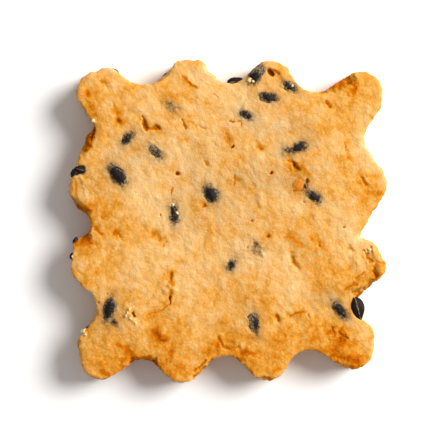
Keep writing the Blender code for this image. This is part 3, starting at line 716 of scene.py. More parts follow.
# Wide areas that stayed paler or browned more: x, y, x, y, half width, shift of toast.
TONE_FIELDS = [
    # paler: the middle and the notches
    (-6.2, -1.3, -11.8, 4.3, 4.6, -0.24), (-16.0, 9.0, -8.0, 9.0, 3.2, -0.14),
    (-0.2, 1.7, -5.8, 7.3, 4.6, -0.13), (8.8, 1.7, 3.2, 7.3, 3.2, -0.1),
    (5.8, 12.2, 0.2, 17.8, 4.6, -0.16), (-3.0, 12.5, -3.0, 20.5, 3.2, -0.09),
    (17.9, -2.9, 15.1, -0.1, 3.2, -0.13), (20.9, 7.6, 18.1, 10.4, 2.2, -0.12),
    (-2.5, -6.0, 5.5, -6.0, 4.6, -0.11), (1.6, -4.4, 4.4, -1.6, 4.6, -0.07),
    (8.8, -9.0, 9.2, -9.0, 3.2, -0.15), (-14.5, -6.0, -6.5, -6.0, 4.6, -0.05),
    # browner: the bottom side
    (-17.5, -19.5, -9.5, -19.5, 4.6, 0.18), (-4.7, -19.3, -10.3, -13.7, 4.6, 0.1),
    (-1.0, -18.0, 7.0, -18.0, 4.6, 0.16), (1.0, -21.0, 5.0, -21.0, 3.2, 0.1),
    (7.3, -14.8, 1.7, -9.2, 3.2, 0.06), (17.8, -20.8, 12.2, -15.2, 4.6, 0.18),
    # browner: the other sides
    (17.8, -10.3, 12.2, -4.7, 3.2, 0.09), (16.0, 18.0, 20.0, 18.0, 4.6, 0.14),
    (21.0, -5.5, 21.0, 2.5, 4.6, 0.1), (-18.0, -7.0, -18.0, 1.0, 4.6, 0.1),
    (-19.5, 9.5, -19.5, 17.5, 4.6, 0.08), (-20.0, -16.5, -16.0, -16.5, 4.6, 0.08),
    # browner: round the two hollows, and a streak beside the dark seed
    (-9.0, -11.0, -9.0, -7.0, 2.2, 0.08), (-5.8, -1.3, -0.2, 4.3, 2.2, 0.1),
]
# Small clouds between them that are paler or browner, in the same form.
CLOUDS = [
    (19.8, -3.8, 18.2, -2.2, 1.6, -0.19), (10.0, 4.3, 10.0, 6.7, 1.1, 0.19),
    (20.4, -7.5, 20.6, -7.5, 1.6, 0.23), (-10.2, 11.0, -7.8, 11.0, 1.6, -0.15),
    (8.0, -6.1, 8.0, -4.9, 1.1, -0.18), (13.0, -10.2, 13.0, -7.8, 1.6, 0.12),
    (-7.7, -21.0, -5.3, -21.0, 1.6, 0.12), (17.5, 17.9, 17.5, 19.1, 1.1, 0.18),
    (-2.0, 8.8, -2.0, 11.2, 1.6, -0.12), (7.0, 8.8, 7.0, 11.2, 1.6, -0.16),
    (19.3, 2.7, 17.7, 4.3, 1.1, 0.14), (7.8, 14.2, 6.2, 15.8, 1.6, -0.12),
    (-11.0, 15.8, -11.0, 18.2, 1.6, -0.11), (-4.7, 20.2, -6.3, 21.8, 1.6, -0.12),
    (-6.7, 4.2, -8.3, 5.8, 1.6, -0.11), (-4.1, 1.6, -4.9, 2.4, 1.1, 0.16),
    (-6.2, 6.2, -7.8, 7.8, 1.1, 0.14), (4.2, -3.8, 5.8, -2.2, 1.6, 0.14),
    (-5.5, -11.2, -5.5, -8.8, 1.6, -0.1), (4.2, 9.7, 5.8, 11.3, 1.1, 0.12),
    (14.3, 0.0, 16.7, 0.0, 1.6, 0.1), (15.2, -16.8, 16.8, -15.2, 1.1, 0.12),
    (-2.8, 15.7, -1.2, 17.3, 1.6, 0.1), (-1.5, -0.2, -1.5, 2.2, 1.6, -0.11),
    (18.5, 9.8, 18.5, 12.2, 1.1, -0.12), (-1.7, -14.0, 0.7, -14.0, 1.1, 0.11),
    (19.8, 18.5, 22.2, 18.5, 1.6, -0.12), (-10.6, -16.4, -11.4, -15.6, 1.1, 0.14),
    (-18.5, 11.3, -18.5, 13.7, 1.1, -0.12), (17.0, 9.9, 17.0, 11.1, 1.1, 0.13),
    (-9.6, -4.5, -8.4, -4.5, 1.1, -0.13), (-18.2, 21.0, -15.8, 21.0, 1.6, -0.13),
]
# Wide areas where seeds lie under the skin and dull it, in the same form. The two rows along the
# left edge, at x -22.4 and -21.0, are painted shade.
DULL_AND_SHADE_FIELDS = [
    (2.0, 6.0, 10.0, 6.0, 4.6, 0.22), (-4.5, 0.5, -4.5, 8.5, 4.6, 0.16),
    (1.5, -15.5, 1.5, -11.5, 4.6, 0.14), (-16.3, 6.2, -10.7, 11.8, 4.6, 0.15),
    (11.9, 12.1, 9.1, 14.9, 2.2, 0.15), (0.5, 12.0, 8.5, 12.0, 4.6, 0.11),
    (10.3, -4.3, 4.7, 1.3, 4.6, 0.11), (12.5, -10.5, 20.5, -10.5, 3.2, 0.18),
    (0.0, -7.0, 0.0, 1.0, 4.6, 0.08), (-20.8, -17.8, -15.2, -12.2, 3.2, 0.1),
    (-10.7, -19.3, -16.3, -13.7, 3.2, 0.08), (-22.4, 10.6, -19.6, 13.4, 4.6, 0.1),
    (-21.0, -2.5, -21.0, 5.5, 4.6, 0.1),
]
print("tone fields:", len(TONE_FIELDS), "clouds:", len(CLOUDS), "dull:", len(DULL_AND_SHADE_FIELDS))

# %% [markdown]
# Most values belong to the top and fade out down the wall. A level is a share of the
# thickness, 0 on the tray and 1 on top, and each fade starts at one level and takes a
# share of the thickness. Patches are blotchy, so noise makes them stronger and weaker.
# The halo of a seed frays less than a crack, and takes only HALO_FRAY of the shift.

# %% Write the values on the skin
BASE_TONE = 0.37
TOP_FROM, TOP_FADE = 0.3, 0.3
FILM_FROM, FILM_FADE = 0.82, 0.1
LEDGE_BELOW, LEDGE_FADE = 0.985, 0.08
UNDER_REACH = 1.2
PATCHY_MEAN, PATCHY_SWING, PATCHY_LENGTH, PATCHY_RANGE = 0.87, 0.7, 0.9, (0.3, 1.5)
RIM_TOAST, RIM_TOAST_REACH = 0.05, 0.7
PATCH_TOAST, PATCH_SLOPE, CLOUD_SLOPE = 1.5, 1.2, 1.2
WALL_TOAST, LEDGE_TOAST, LEDGE_TOAST_SLOPE = 0.46, 0.3, 0.6
HALO_REACH, HALO_DEPTH, HALO_FRAY, FILM_SHARE = 1.3, 0.4, 0.8, 0.38
CRACK_TINT_SLOPE, PALE_GAIN = 0.7, 1.3


def write_value(item, name, values):
    """Stores one number for each point of the item, for its material to read."""
    layer = item.data.attributes.new(name, "FLOAT", "POINT")
    layer.data.foreach_set("value", values.astype(np.float32))


def skin_toast(places, marks, level, top):
    """How far the dough browned at each place, above its base tone."""
    edge_distance, _ = nearest_edge(places[:, 0], places[:, 1])
    even = (marks[0], marks[1], np.ones(len(places)))
    fields = total(TONE_FIELDS, even, 1.0, STRENGTH) + total(CLOUDS, even, CLOUD_SLOPE, STRENGTH)
    patchy = PATCHY_MEAN + PATCHY_SWING * noise_at(places, PATCHY_LENGTH, PATCHY_LAYER)
    patchy = np.clip(patchy, *PATCHY_RANGE)
    patches = PATCH_TOAST * patchy * total(PATCHES, marks, PATCH_SLOPE, DARKNESS)
    rim = RIM_TOAST * np.exp(-edge_distance / RIM_TOAST_REACH)
    toast = top * (patches + fields + rim) + (1.0 - top) * (WALL_TOAST - BASE_TONE)
    ledges = deepest(LEDGES, marks, LEDGE_TOAST_SLOPE, DARKNESS)
    return toast + LEDGE_TOAST * ledges * eased((LEDGE_BELOW - level) / LEDGE_FADE)


def seed_film(places, marks):
    """How close a black seed is, less where a film of dough covers it."""
    near_x = HALO_FRAY * marks[0] + (1.0 - HALO_FRAY) * places[:, 0]
    near_y = HALO_FRAY * marks[1] + (1.0 - HALO_FRAY) * places[:, 1]
    film = np.zeros(len(places))
    for seed in TOP_SEEDS:
        outside = np.clip(outside_seed(seed, near_x, near_y), -HALO_DEPTH, HALO_REACH)
        shown = 1.0 - FILM_SHARE * cover_along(seed, near_x, near_y)
        film = np.maximum(film, (1.0 - outside / HALO_REACH) * shown)
    return film


def colour_skin(item):
    """Writes the six values on the item's points."""
    places = read_places(item)
    marks = frayed(places)
    x, y = marks[:2]
    level = np.clip(places[:, 2] / THICKNESS, 0.0, 1.0)
    top = eased((level - TOP_FROM) / TOP_FADE)
    pale = np.zeros_like(x)
    for px, py, radius in PALE_GRAINS:
        inside = 1.0 - np.hypot(x - px, y - py) / radius
        pale = np.maximum(pale, eased(PALE_GAIN * inside))
    # Cracks and pin holes darken as browning and partly as painted shade.
    cracks = np.maximum(deepest(CRACKS, marks, CRACK_TINT_SLOPE, DARKNESS), pin_share(marks, True))
    # Dulled by seeds under the skin, and painted shade along the left edge.
    dull = total(DULL_AND_SHADE_FIELDS, (x, y, np.ones_like(x)), 1.0, STRENGTH)
    write_value(item, "toast", skin_toast(places, marks, level, top))
    write_value(item, "crack", cracks * top)
    write_value(item, "dull", dull * top)
    write_value(item, "film", seed_film(places, marks) * eased((level - FILM_FROM) / FILM_FADE))
    write_value(item, "pale", pale * top)
    write_value(item, "under", 1.0 - eased(places[:, 2] / UNDER_REACH))


colour_skin(dough)
values = [item.name for item in dough.data.attributes if item.domain == "POINT"]
print("values on the skin:", values)

# %% [markdown]
# ## The seeds
# A sesame seed is a flat drop about 3 mm long, blunt at one end and pointed at the other,
# with a fine ridge along its faces. A round sphere is drawn out, flattened and narrowed
# towards the tip, and noise makes its skin uneven. Each point also remembers how much
# film covers it, in a value called cover. All seeds of one colour are joined into one
# piece.

# %% Shape one seed
SEED_TAPER, TIP_SLIMMING = 0.3, 0.12
SEED_FLATNESS = 0.7
SEED_RIDGE, RIDGE_WIDTH = 0.12, 0.1
# Bumps on its skin, as length and rise in mm.
SEED_BUMPS = [(0.9, 0.1), (0.35, 0.06)]
EDGE_FILM, EDGE_FROM = 1.6, 0.55


def add_seed(batch, length, width, placement, cover, sides):
    """Adds a seed of that size, with that many sides round and along it.

    cover is its film at the blunt end, at the tip, to the left and on the ridge, and then
    how much more of it gathers at the edge."""
    film = batch.verts.layers.float["cover"]
    half_length, half_width = length / 2, width / 2
    half_thickness = half_width * SEED_THICKNESS_SHARE
    made = bmesh.ops.create_uvsphere(
        batch, u_segments=sides[0], v_segments=sides[1], radius=1.0,
        matrix=Matrix.Rotation(math.pi / 2, 4, "Y"),
    )["verts"]
    shift = placement.translation / MM
    for vertex in made:
        along, across, up = vertex.co
        slimming = 1.0 - SEED_TAPER * along - TIP_SLIMMING * along * along
        crest = math.exp(-((across / RIDGE_WIDTH) ** 2))
        ridge = SEED_RIDGE * crest * (1.0 - along * along)
        height = math.copysign(abs(up) ** SEED_FLATNESS + ridge, up)
        place = Vector((
            along * half_length,
            across * slimming * half_width,
            height * slimming * half_thickness,
        ))
        swell = 1.0
        for bump_length, rise in SEED_BUMPS:
            swell += rise / width * 2 * noise.noise((place + shift) / bump_length)
        edge = max(0.0, math.hypot(along, across) - EDGE_FROM)
        vertex[film] = cover[0] + (cover[1] - cover[0]) * (along + 1.0) / 2 + cover[2] * across
        vertex[film] += EDGE_FILM * edge * cover[4] + cover[3] * crest
        vertex.co = place * swell * MM
    bmesh.ops.transform(batch, matrix=placement, verts=made)


def lying(x, y, height, turn):
    """A placement flat at that height in mm, turned by that many degrees."""
    place = Matrix.Translation(Vector((x, y, height)) * MM)
    return place @ Matrix.Rotation(math.radians(turn), 4, "Z")


def seed_batch():
    """An empty mesh that seeds are added to, with their cover value."""
    batch = bmesh.new()
    batch.verts.layers.float.new("cover")
    return batch


def joined_piece(name, batch):
    """Makes the batch one object."""
    mesh = bpy.data.meshes.new(name)
    batch.to_mesh(mesh)
    batch.free()
    mesh.shade_smooth()
    piece = bpy.data.objects.new(name, mesh)
    bpy.context.scene.collection.objects.link(piece)
    return piece


print("seed taper:", SEED_TAPER, "flatness:", SEED_FLATNESS)

# %% [markdown]
# A ray cast down on the skin would land in a crack or on a grain, so the level that a
# seed is set from is the mean of a ring of casts round its middle. The film hides the
# very edge of a seed, so a seed is made a little larger than it looks.

# %% Find the level of the skin
RING_CASTS, RING_REACH = 12, 0.8
CAST_HEIGHT, LOWEST_TOP = 20.0, 4.5
DOWN = Vector((0.0, 0.0, -1.0))
skin = BVHTree.FromObject(dough, bpy.context.evaluated_depsgraph_get())


def skin_level(x, y):
    """Mean height of the baked top in mm round a place, without casts that fall beside it."""
    levels = []
    for step in range(RING_CASTS):
        turn = math.tau * step / RING_CASTS
        ring_x, ring_y = x + RING_REACH * math.cos(turn), y + RING_REACH * math.sin(turn)
        hit = skin.ray_cast(Vector((ring_x, ring_y, CAST_HEIGHT)) * MM, DOWN)[0]
        if hit is not None and hit.z > LOWEST_TOP * MM:
            levels.append(hit.z / MM)
    return sum(levels) / len(levels)


print("skin level in the middle, in mm:", round(skin_level(0.0, 0.0), 2))

# %% Set the seeds of the top, the rim and the base
SEED_GROWTH = 0.05
# Sides round and along a seed: one that the photo shows, and one that is guessed.
FINE_SEED, PLAIN_SEED = (40, 24), (24, 14)
# Film: on the ridge alone at the rim, a little all over on guessed seeds.
RIM_COVER = (0.0, 0.0, 0.0, 0.9, 0.0)
PLAIN_COVER, NO_COVER = (0.3, 0.3, 0.0, 0.0, 0.5), (0.0, 0.0, 0.0, 0.0, 0.0)
BASE_SEED_LIFT = 0.13


def set_on_skin(batch, x, y, length, width, turn, proud, cover):
    """Adds a seed that stands so far proud of the skin, but never above the limit."""
    length, width = length + SEED_GROWTH, width + SEED_GROWTH
    height = min(skin_level(x, y) + proud, TOP_LIMIT) - width * SEED_THICKNESS_SHARE / 2
    add_seed(batch, length, width, lying(x, y, height, turn), cover, FINE_SEED)


black_batch = seed_batch()
for x, y, length, width, turn, proud, *cover in TOP_SEEDS:
    set_on_skin(black_batch, x, y, length, width, turn, proud, (*cover, 0.0, 1.0))
for x, y, height, length, width, turn in RIM_SEEDS:
    add_seed(black_batch, length, width, lying(x, y, height, turn), RIM_COVER, FINE_SEED)
length, width = BASE_SEED_SIZE
height = width * SEED_THICKNESS_SHARE / 2 + BASE_SEED_LIFT
for x, y, turn in BASE_SEEDS:
    add_seed(black_batch, length, width, lying(x, y, height, turn), PLAIN_COVER, PLAIN_SEED)
print("points of the seeds so far:", len(black_batch.verts))

# %% [markdown]
# The photo doesn't show the wall, so its seeds are set by lot: one in each equal part of
# the outline, at a height and a turn of its own. A ray cast inwards finds the wall, and
# the seed lies flat against it, sunk in but for a tenth of a millimetre.

# %% Set the seeds of the wall
WALL_SEED_COUNT, WALL_SEED_SIZE = 14, (2.8, 1.6)
WALL_SEED_PARTS, WALL_SEED_HEIGHTS, WALL_SEED_TURN = (0.2, 0.8), (1.6, 3.8), 60.0
WALL_SEED_PROUD, WALL_CAST = 0.12, 2.0
RANDOM_SEED = 7
lot = random.Random(RANDOM_SEED)
length, width = WALL_SEED_SIZE
sunk = WALL_SEED_PROUD - width * SEED_THICKNESS_SHARE / 2
for number in range(WALL_SEED_COUNT):
    step = (number + lot.uniform(*WALL_SEED_PARTS)) / WALL_SEED_COUNT
    index = int(step * len(outline))
    here, beyond = outline[index], outline[(index + 1) % len(outline)]
    run = (beyond - here).normalized()
    outward = Vector((-run.y, run.x, 0.0))
    height = lot.uniform(*WALL_SEED_HEIGHTS)
    start = Vector((here.x, here.y, height)) * MM + outward * WALL_CAST * MM
    hit = skin.ray_cast(start, -outward)[0]
    turned = outward.to_track_quat("Z", "X").to_matrix().to_4x4()
    angle = math.radians(lot.uniform(-WALL_SEED_TURN, WALL_SEED_TURN))
    against = Matrix.Translation(hit + outward * sunk * MM) @ turned
    placement = against @ Matrix.Rotation(angle, 4, "Z")
    add_seed(black_batch, length, width, placement, PLAIN_COVER, PLAIN_SEED)
black_seeds = joined_piece("black_sesame_seeds", black_batch)

toasted_batch = seed_batch()
for x, y, length, width, turn, proud in TOASTED_SEEDS:
    set_on_skin(toasted_batch, x, y, length, width, turn, proud, NO_COVER)
toasted_seeds = joined_piece("toasted_sesame_seeds", toasted_batch)
print("seed triangles:", triangle_count(black_seeds) + triangle_count(toasted_seeds))

# %% [markdown]
# ## Crumbs
# Where the skin broke, loose grains of pale dough cling to it, some of them on the seeds.
# Each is a small icosphere with noise on it, sunk by a third of its radius into what it
# lies on. Its bumps reach a little beyond its radius, which counts towards the limit of
# the top. Their lengths are shares of the radius.

# %% Set the crumbs
# x, y, radius
CRUMBS = [
    (-13.95, -13.0, 0.52), (-13.65, -13.65, 0.38), (-14.3, -13.25, 0.32), (-13.8, -12.3, 0.32),
    (-13.35, -12.1, 0.24), (-13.0, -14.3, 0.24), (-18.9, 14.0, 0.3), (-20.25, -15.5, 0.42),
    (-20.0, -15.95, 0.3), (3.05, 19.75, 0.45), (3.45, 19.5, 0.22), (-7.77, 2.21, 0.26),
    (-7.21, 1.09, 0.24), (-21.8, -5.0, 0.18), (19.75, -4.05, 0.26), (19.3, -4.3, 0.2),
    (8.9, 18.9, 0.2),
]
CRUMB_SUNK, CRUMB_REACH = 0.35, 1.2
CRUMB_BUMPS = [(0.9, 0.55), (0.35, 0.35)]


def add_crumb(batch, x, y, radius):
    """Adds a crumb that lies on the skin or on a seed, whichever is higher."""
    start = Vector((x, y, CAST_HEIGHT)) * MM
    hits = [tree.ray_cast(start, DOWN)[0] for tree in (skin, seed_skin)]
    middle = max((hit for hit in hits if hit is not None), key=lambda hit: hit.z)
    middle.z = min(middle.z - CRUMB_SUNK * radius * MM, (TOP_LIMIT - CRUMB_REACH * radius) * MM)
    made = bmesh.ops.create_icosphere(batch, subdivisions=3, radius=radius * MM)["verts"]
    for vertex in made:
        swell = 1.0
        for share, rise in CRUMB_BUMPS:
            swell += rise * noise.noise(vertex.co / (share * radius * MM) + Vector((x, y, 0.0)))
        vertex.co = middle + vertex.co * swell


seed_skin = BVHTree.FromObject(black_seeds, bpy.context.evaluated_depsgraph_get())
crumb_batch = bmesh.new()
for x, y, radius in CRUMBS:
    add_crumb(crumb_batch, x, y, radius)
crumbs = joined_piece("dough_crumbs", crumb_batch)
print("crumb triangles:", triangle_count(crumbs))

# %% [markdown]
# ## Materials
# One function turns colours given in hex into the linear values that light works with,
# and one adds a node with its settings and links. Two more take up what both materials
# repeat: a sum of shares, and tints laid over a colour.

# %% Material helpers
def linear(colour):
    """A hex colour such as F8C880 as linear red, green, blue and alpha."""
    channels = [int(colour[i:i + 2], 16) / 255 for i in (0, 2, 4)]
    bent = [c / 12.92 if c <= 0.04045 else ((c + 0.055) / 1.055) ** 2.4 for c in channels]
    return (*bent, 1.0)


def per_mm(length):
    """A noise scale for features of that length in mm, on coordinates in metres."""
    return 1.0 / (length * MM)


def new_material(name):
    """A material without nodes, and its node tree."""
    material = bpy.data.materials.new(name)
    material.use_nodes = True
    material.node_tree.nodes.clear()
    return material, material.node_tree


def add_node(tree, kind, settings=None, **inputs):
    """Adds a node. settings are its own values; inputs are numbers, colours or links.

    An input is named as in the editor, or by its number, as in _0."""
    node = tree.nodes.new(kind)
    for name, value in (settings or {}).items():
        setattr(node, name, value)
    for name, value in inputs.items():
        numbered = name[1:].isdigit()
        socket = node.inputs[int(name[1:]) if numbered else name.replace("_", " ")]
        if isinstance(value, bpy.types.NodeSocket):
            tree.links.new(value, socket)
        else:
            socket.default_value = value
    return node


def summed(tree, start, shares, clamped=False):
    """start plus each value times its share. A clamped sum stays between 0 and 1."""
    for value, share in shares:
        node = add_node(
            tree, "ShaderNodeMath", {"operation": "MULTIPLY_ADD"}, _0=value, _1=share, _2=start,
        )
        start = node.outputs[0]
    node.use_clamp = clamped
    return start


def tinted(tree, colour, tints):
    """The colour with tints laid over it, each a value, its gain and offset, and a colour."""
    for value, gain, offset, tint in tints:
        share = summed(tree, offset, [(value, gain)], clamped=True)
        colour = add_node(
            tree, "ShaderNodeMix", {"data_type": "RGBA"}, _0=share, _6=colour, _7=tint,
        ).outputs[2]
    return colour


print("middle grey, linear:", round(linear("808080")[0], 3))

# %% [markdown]
# ### Baked short dough
# Butter dough baked in a dry oven: matt, with a sandy grain. It is cream where it stayed
# cool, gold over most of the top, orange to brown where the skin stood up or cracked.
# Five octaves of noise from 1.7 mm down, and crumbly flakes of three sizes, shift the
# toast value, and the sum reads its colour from one ramp, so that every tone lies on the
# same oven scale. A flake is a cell with soft edges, bent by noise, with a tone of its
# own and a darker rim. The flakes and the finest grains also make the bumps.

# %% Tone and bumps of the dough
# The oven scale: where each tone lies on it, and its colour.
OVEN_TONES = [
    (0, "D1B47E"), (0.12, "D1AB71"), (0.2, "D1A66A"), (0.275, "CFA262"), (0.34, "CE9E5A"),
    (0.4, "CF9950"), (0.46, "CC9341"), (0.525, "C78A34"), (0.6, "C48124"), (0.68, "BC6F10"),
    (0.8, "A85407"), (1, "702C01"),
]
# Noise by name: length in mm, octaves after the first, and how strong the finer ones are.
DOUGH_NOISE = {"mottle": (1.7, 4.0, 0.7), "grains": (0.45, 1.0, 1.0), "specks": (0.22, 1.0, 1.0)}
MOTTLE, CRACK_TONE, PALE_TONE = 0.9, 0.2, -0.3
# Flecks: the noise that they follow, its gain and offset, and their shift of the tone. The pale
# flecks are partly flour and partly painted highlights of grains; the brown ones are toast.
FLECKS = [("grains", 9.0, -5.85, -0.18), ("specks", -9.0, 2.9, 0.06)]
# Flakes: length in mm and shift of the tone.
FLAKES = [(1.7, 0.065), (0.9, 0.065), (0.45, 0.03)]
FLAKE_BEND, FLAKE_BEND_LENGTH = 0.5, 0.6
FLAKE_SMOOTHNESS, FLAKE_CREASE, FLAKE_MIDDLE, FLAKE_RISE = 0.4, 0.1, 0.4, 0.85
GRAIN_RISES = [("grains", 0.45), ("specks", 0.75)]


def dough_values(tree, place):
    """The six values on the skin and the three noises, by name."""
    found = {}
    for name in ("toast", "crack", "dull", "film", "pale", "under"):
        node = add_node(tree, "ShaderNodeAttribute", {"attribute_name": name})
        found[name] = node.outputs["Fac"]
    for name, (length, detail, roughness) in DOUGH_NOISE.items():
        node = add_node(
            tree, "ShaderNodeTexNoise", Vector=place, Scale=per_mm(length), Detail=detail,
            Roughness=roughness,
        )
        found[name] = node.outputs["Fac"]
    return found


def dough_tone(tree, place, found):
    """Where each place lies on the oven scale, and how far its grain rises."""
    bend = add_node(
        tree, "ShaderNodeTexNoise", Vector=place, Scale=per_mm(FLAKE_BEND_LENGTH), Detail=1.0,
    )
    bent = add_node(
        tree, "ShaderNodeVectorMath", {"operation": "MULTIPLY_ADD"},
        _0=bend.outputs["Color"], _1=(FLAKE_BEND * MM,) * 3, _2=place,
    ).outputs[0]
    level = BASE_TONE - 0.5 * MOTTLE
    tones = [(found["mottle"], MOTTLE)]
    rises = [(found[name], rise) for name, rise in GRAIN_RISES]
    for length, shift in FLAKES:
        flake = add_node(
            tree, "ShaderNodeTexVoronoi", {"feature": "SMOOTH_F1"},
            Vector=bent, Scale=per_mm(length), Smoothness=FLAKE_SMOOTHNESS,
        ).outputs
        level -= 0.5 * shift + FLAKE_MIDDLE * FLAKE_CREASE
        tones += [(flake["Color"], shift), (flake["Distance"], FLAKE_CREASE)]
        rises.append((flake["Distance"], -FLAKE_RISE * length))
    tones += [(found["crack"], CRACK_TONE), (found["toast"], 1.0), (found["pale"], PALE_TONE)]
    # Pale flecks, partly painted highlights of grains, and brown specks.
    for name, gain, offset, shift in FLECKS:
        tones.append((summed(tree, offset, [(found[name], gain)], clamped=True), shift))
    return summed(tree, level, tones), summed(tree, 0.0, rises)


def ramp_colour(tree, tone):
    """The colour of a tone on the oven scale."""
    node = add_node(tree, "ShaderNodeValToRGB", Fac=tone)
    stops = node.color_ramp.elements
    for index, (position, colour) in enumerate(OVEN_TONES):
        stop = stops[index] if index < 2 else stops.new(position)
        stop.position = position
        stop.color = linear(colour)
    return node.outputs["Color"]


print("tones on the oven scale:", len(OVEN_TONES))

# %% [markdown]
# Over the oven tone lie the tints of the tray side, of buried seeds (with painted shade
# along the left edge), of the film round black seeds and of cracks, whose brown is partly
# painted shade. Grains fray the edges of film and cracks. Browned skin and cracks shine
# less, because the oven dried them out.

# %% Material of the dough
# Tints: the value that they follow, its gain and offset, and their colour.
CRACK_GAIN, CRACK_OFFSET = 4.0, -2.6
DOUGH_TINTS = [
    # The dull tint is partly painted shade at the left edge; the crack tints are browning and partly
    # painted shade in cracks and pin holes.
    ("under", 0.35, 0.0, "A56B2E"), ("dull", 0.85, 0.0, "1C1814"), ("halo", 0.5, 0.0, "776345"),
    ("frayed_film", 2.6, -3.45, "4A3A28"), ("frayed_film", 4.5, -7.1, "160F0B"),
    ("frayed_crack", CRACK_GAIN, CRACK_OFFSET, "B26006"), ("frayed_crack", 3.0, -3.6, "522405"),
]
# How much grains and specks fray film and cracks.
FILM_FRAY, CRACK_FRAY = (0.7, 0.4), (0.4, 0.4)
SHEEN, SHEEN_BY_TONE, SHEEN_BY_CRACK, MEAN_SHEEN = 0.31, -0.45, -0.15, 0.14
BUMP_HEIGHT = 0.08


def dough_material():
    """Skin of the dough: tone, tints, bumps and a weak sheen."""
    material, tree = new_material("baked_short_dough")
    place = add_node(tree, "ShaderNodeTexCoord").outputs["Object"]
    found = dough_values(tree, place)
    tone, rise = dough_tone(tree, place, found)
    halo = {"operation": "POWER", "use_clamp": True}
    found["halo"] = add_node(tree, "ShaderNodeMath", halo, _0=found["film"], _1=2.0).outputs[0]
    for name, shares in (("film", FILM_FRAY), ("crack", CRACK_FRAY)):
        grit = [(found["specks"], shares[1]), (found["grains"], shares[0])]
        found["frayed_" + name] = summed(tree, found[name], grit)
    tints = [(found[name], gain, offset, linear(tint)) for name, gain, offset, tint in DOUGH_TINTS]
    colour = tinted(tree, ramp_colour(tree, tone), tints)
    deep = summed(tree, CRACK_OFFSET, [(found["frayed_crack"], CRACK_GAIN)], clamped=True)
    sheen = summed(tree, SHEEN, [(tone, SHEEN_BY_TONE)], clamped=True)
    sheen = summed(tree, sheen, [(deep, SHEEN_BY_CRACK)], clamped=True)

    bump = add_node(tree, "ShaderNodeBump", Height=rise, Strength=1.0, Distance=BUMP_HEIGHT * MM)
    shader = add_node(
        tree, "ShaderNodeBsdfPrincipled", Base_Color=colour, Normal=bump.outputs["Normal"],
        Roughness=0.6, Subsurface_Weight=0.3, Subsurface_Scale=0.4 * MM,
        Subsurface_Radius=(1.0, 0.55, 0.25), Specular_IOR_Level=MEAN_SHEEN,
    )
    # The socket keeps the mean, for a copy of the cookie whose sheen isn't linked.
    tree.links.new(sheen, shader.inputs["Specular IOR Level"])
    add_node(tree, "ShaderNodeOutputMaterial", Surface=shader.outputs["BSDF"])
    return material


dough.data.materials.clear()
dough.data.materials.append(dough_material())
print("dough material:", dough.data.materials[0].name)

# %% [markdown]
# ### Seed coats and crumbs
# The coat of black sesame is a thin dry skin, nearly black, with a dull satin from its
# oil and fine pits. Where the cover value is high, grains of dough stick to it as grey
# and tan specks. The toasted seed has lost its coat and baked to amber. Crumbs are the
# inside of the dough, which stayed pale.

# %% Materials of the seeds and crumbs
# Noise by name: length in mm and octaves after the first. The pits have their own length.
CLOUD_NOISE, PIT_DETAIL = (0.7, 3.0), 2.0
FILM_NOISE = {"clumps": (0.36, 2.0), "grit": (0.2, 1.0)}
CLUMP_SHARE, STUCK, GRIT = 1.3, (2.4, -2.3), (5.0, -2.0)
PIT_STRENGTH, COAT_SHEEN = 0.7, 0.15


def coat_material(name, tones, roughness, pits, film_tones=()):
    """tones are dark and light; pits are their length and depth in mm."""
    material, tree = new_material(name)
    place = add_node(tree, "ShaderNodeTexCoord").outputs["Object"]
    noises = {"clouds": CLOUD_NOISE, "pits": (pits[0], PIT_DETAIL)}
    if film_tones:
        noises.update(FILM_NOISE)
    found = {}
    for key, (length, detail) in noises.items():
        node = add_node(
            tree, "ShaderNodeTexNoise", Vector=place, Scale=per_mm(length), Detail=detail,
        )
        found[key] = node.outputs["Fac"]
    colour = tinted(tree, linear(tones[0]), [(found["clouds"], 1.0, 0.0, linear(tones[1]))])
    if film_tones:
        cover = add_node(tree, "ShaderNodeAttribute", {"attribute_name": "cover"}).outputs["Fac"]
        dark, light = [linear(tone) for tone in film_tones]
        film = tinted(tree, dark, [(found["grit"], *GRIT, light)])
        clumped = summed(tree, cover, [(found["clumps"], CLUMP_SHARE)])
        colour = tinted(tree, colour, [(clumped, *STUCK, film)])
    bump = add_node(
        tree, "ShaderNodeBump", Height=found["pits"], Strength=PIT_STRENGTH, Distance=pits[1] * MM,
    )
    shader = add_node(
        tree, "ShaderNodeBsdfPrincipled", Base_Color=colour, Normal=bump.outputs["Normal"],
        Roughness=roughness, Specular_IOR_Level=COAT_SHEEN,
    )
    add_node(tree, "ShaderNodeOutputMaterial", Surface=shader.outputs["BSDF"])
    return material


black_seeds.data.materials.append(
    coat_material("black_sesame_coat", ("0A0604", "1A120E"), 0.6, (0.16, 0.06), ("42342A", "86704E"))
)
toasted_seeds.data.materials.append(
    coat_material("toasted_sesame", ("AE6010", "C07C20"), 0.7, (0.3, 0.02))
)
crumbs.data.materials.append(coat_material("pale_crumb", ("CDA56A", "E2C896"), 0.85, (0.14, 0.05)))
print("materials:", len(bpy.data.materials))

# %% [markdown]
# ## Riding and replacing
# The cookie is one body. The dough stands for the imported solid, which already has the
# seeds fused to it, and the seeds and crumbs ride along.

# %% Tie the pieces to the body
PIECES = [
    (dough, "baked_dough"), (black_seeds, "black_sesame"), (toasted_seeds, "toasted_sesame"),
    (crumbs, "baked_dough"),
]
for piece, slot in PIECES:
    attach(piece, "root")
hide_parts(NODE)
print("pieces:", [piece.name for piece, _ in PIECES])

# %% [markdown]
# ## The studio
# A white table, one wide soft lamp from the right and a little above in the picture, low
# enough for a shadow a little longer than the cookie is thick, and an even pale sky for
# the light that bounces round a white room. The camera looks straight down.

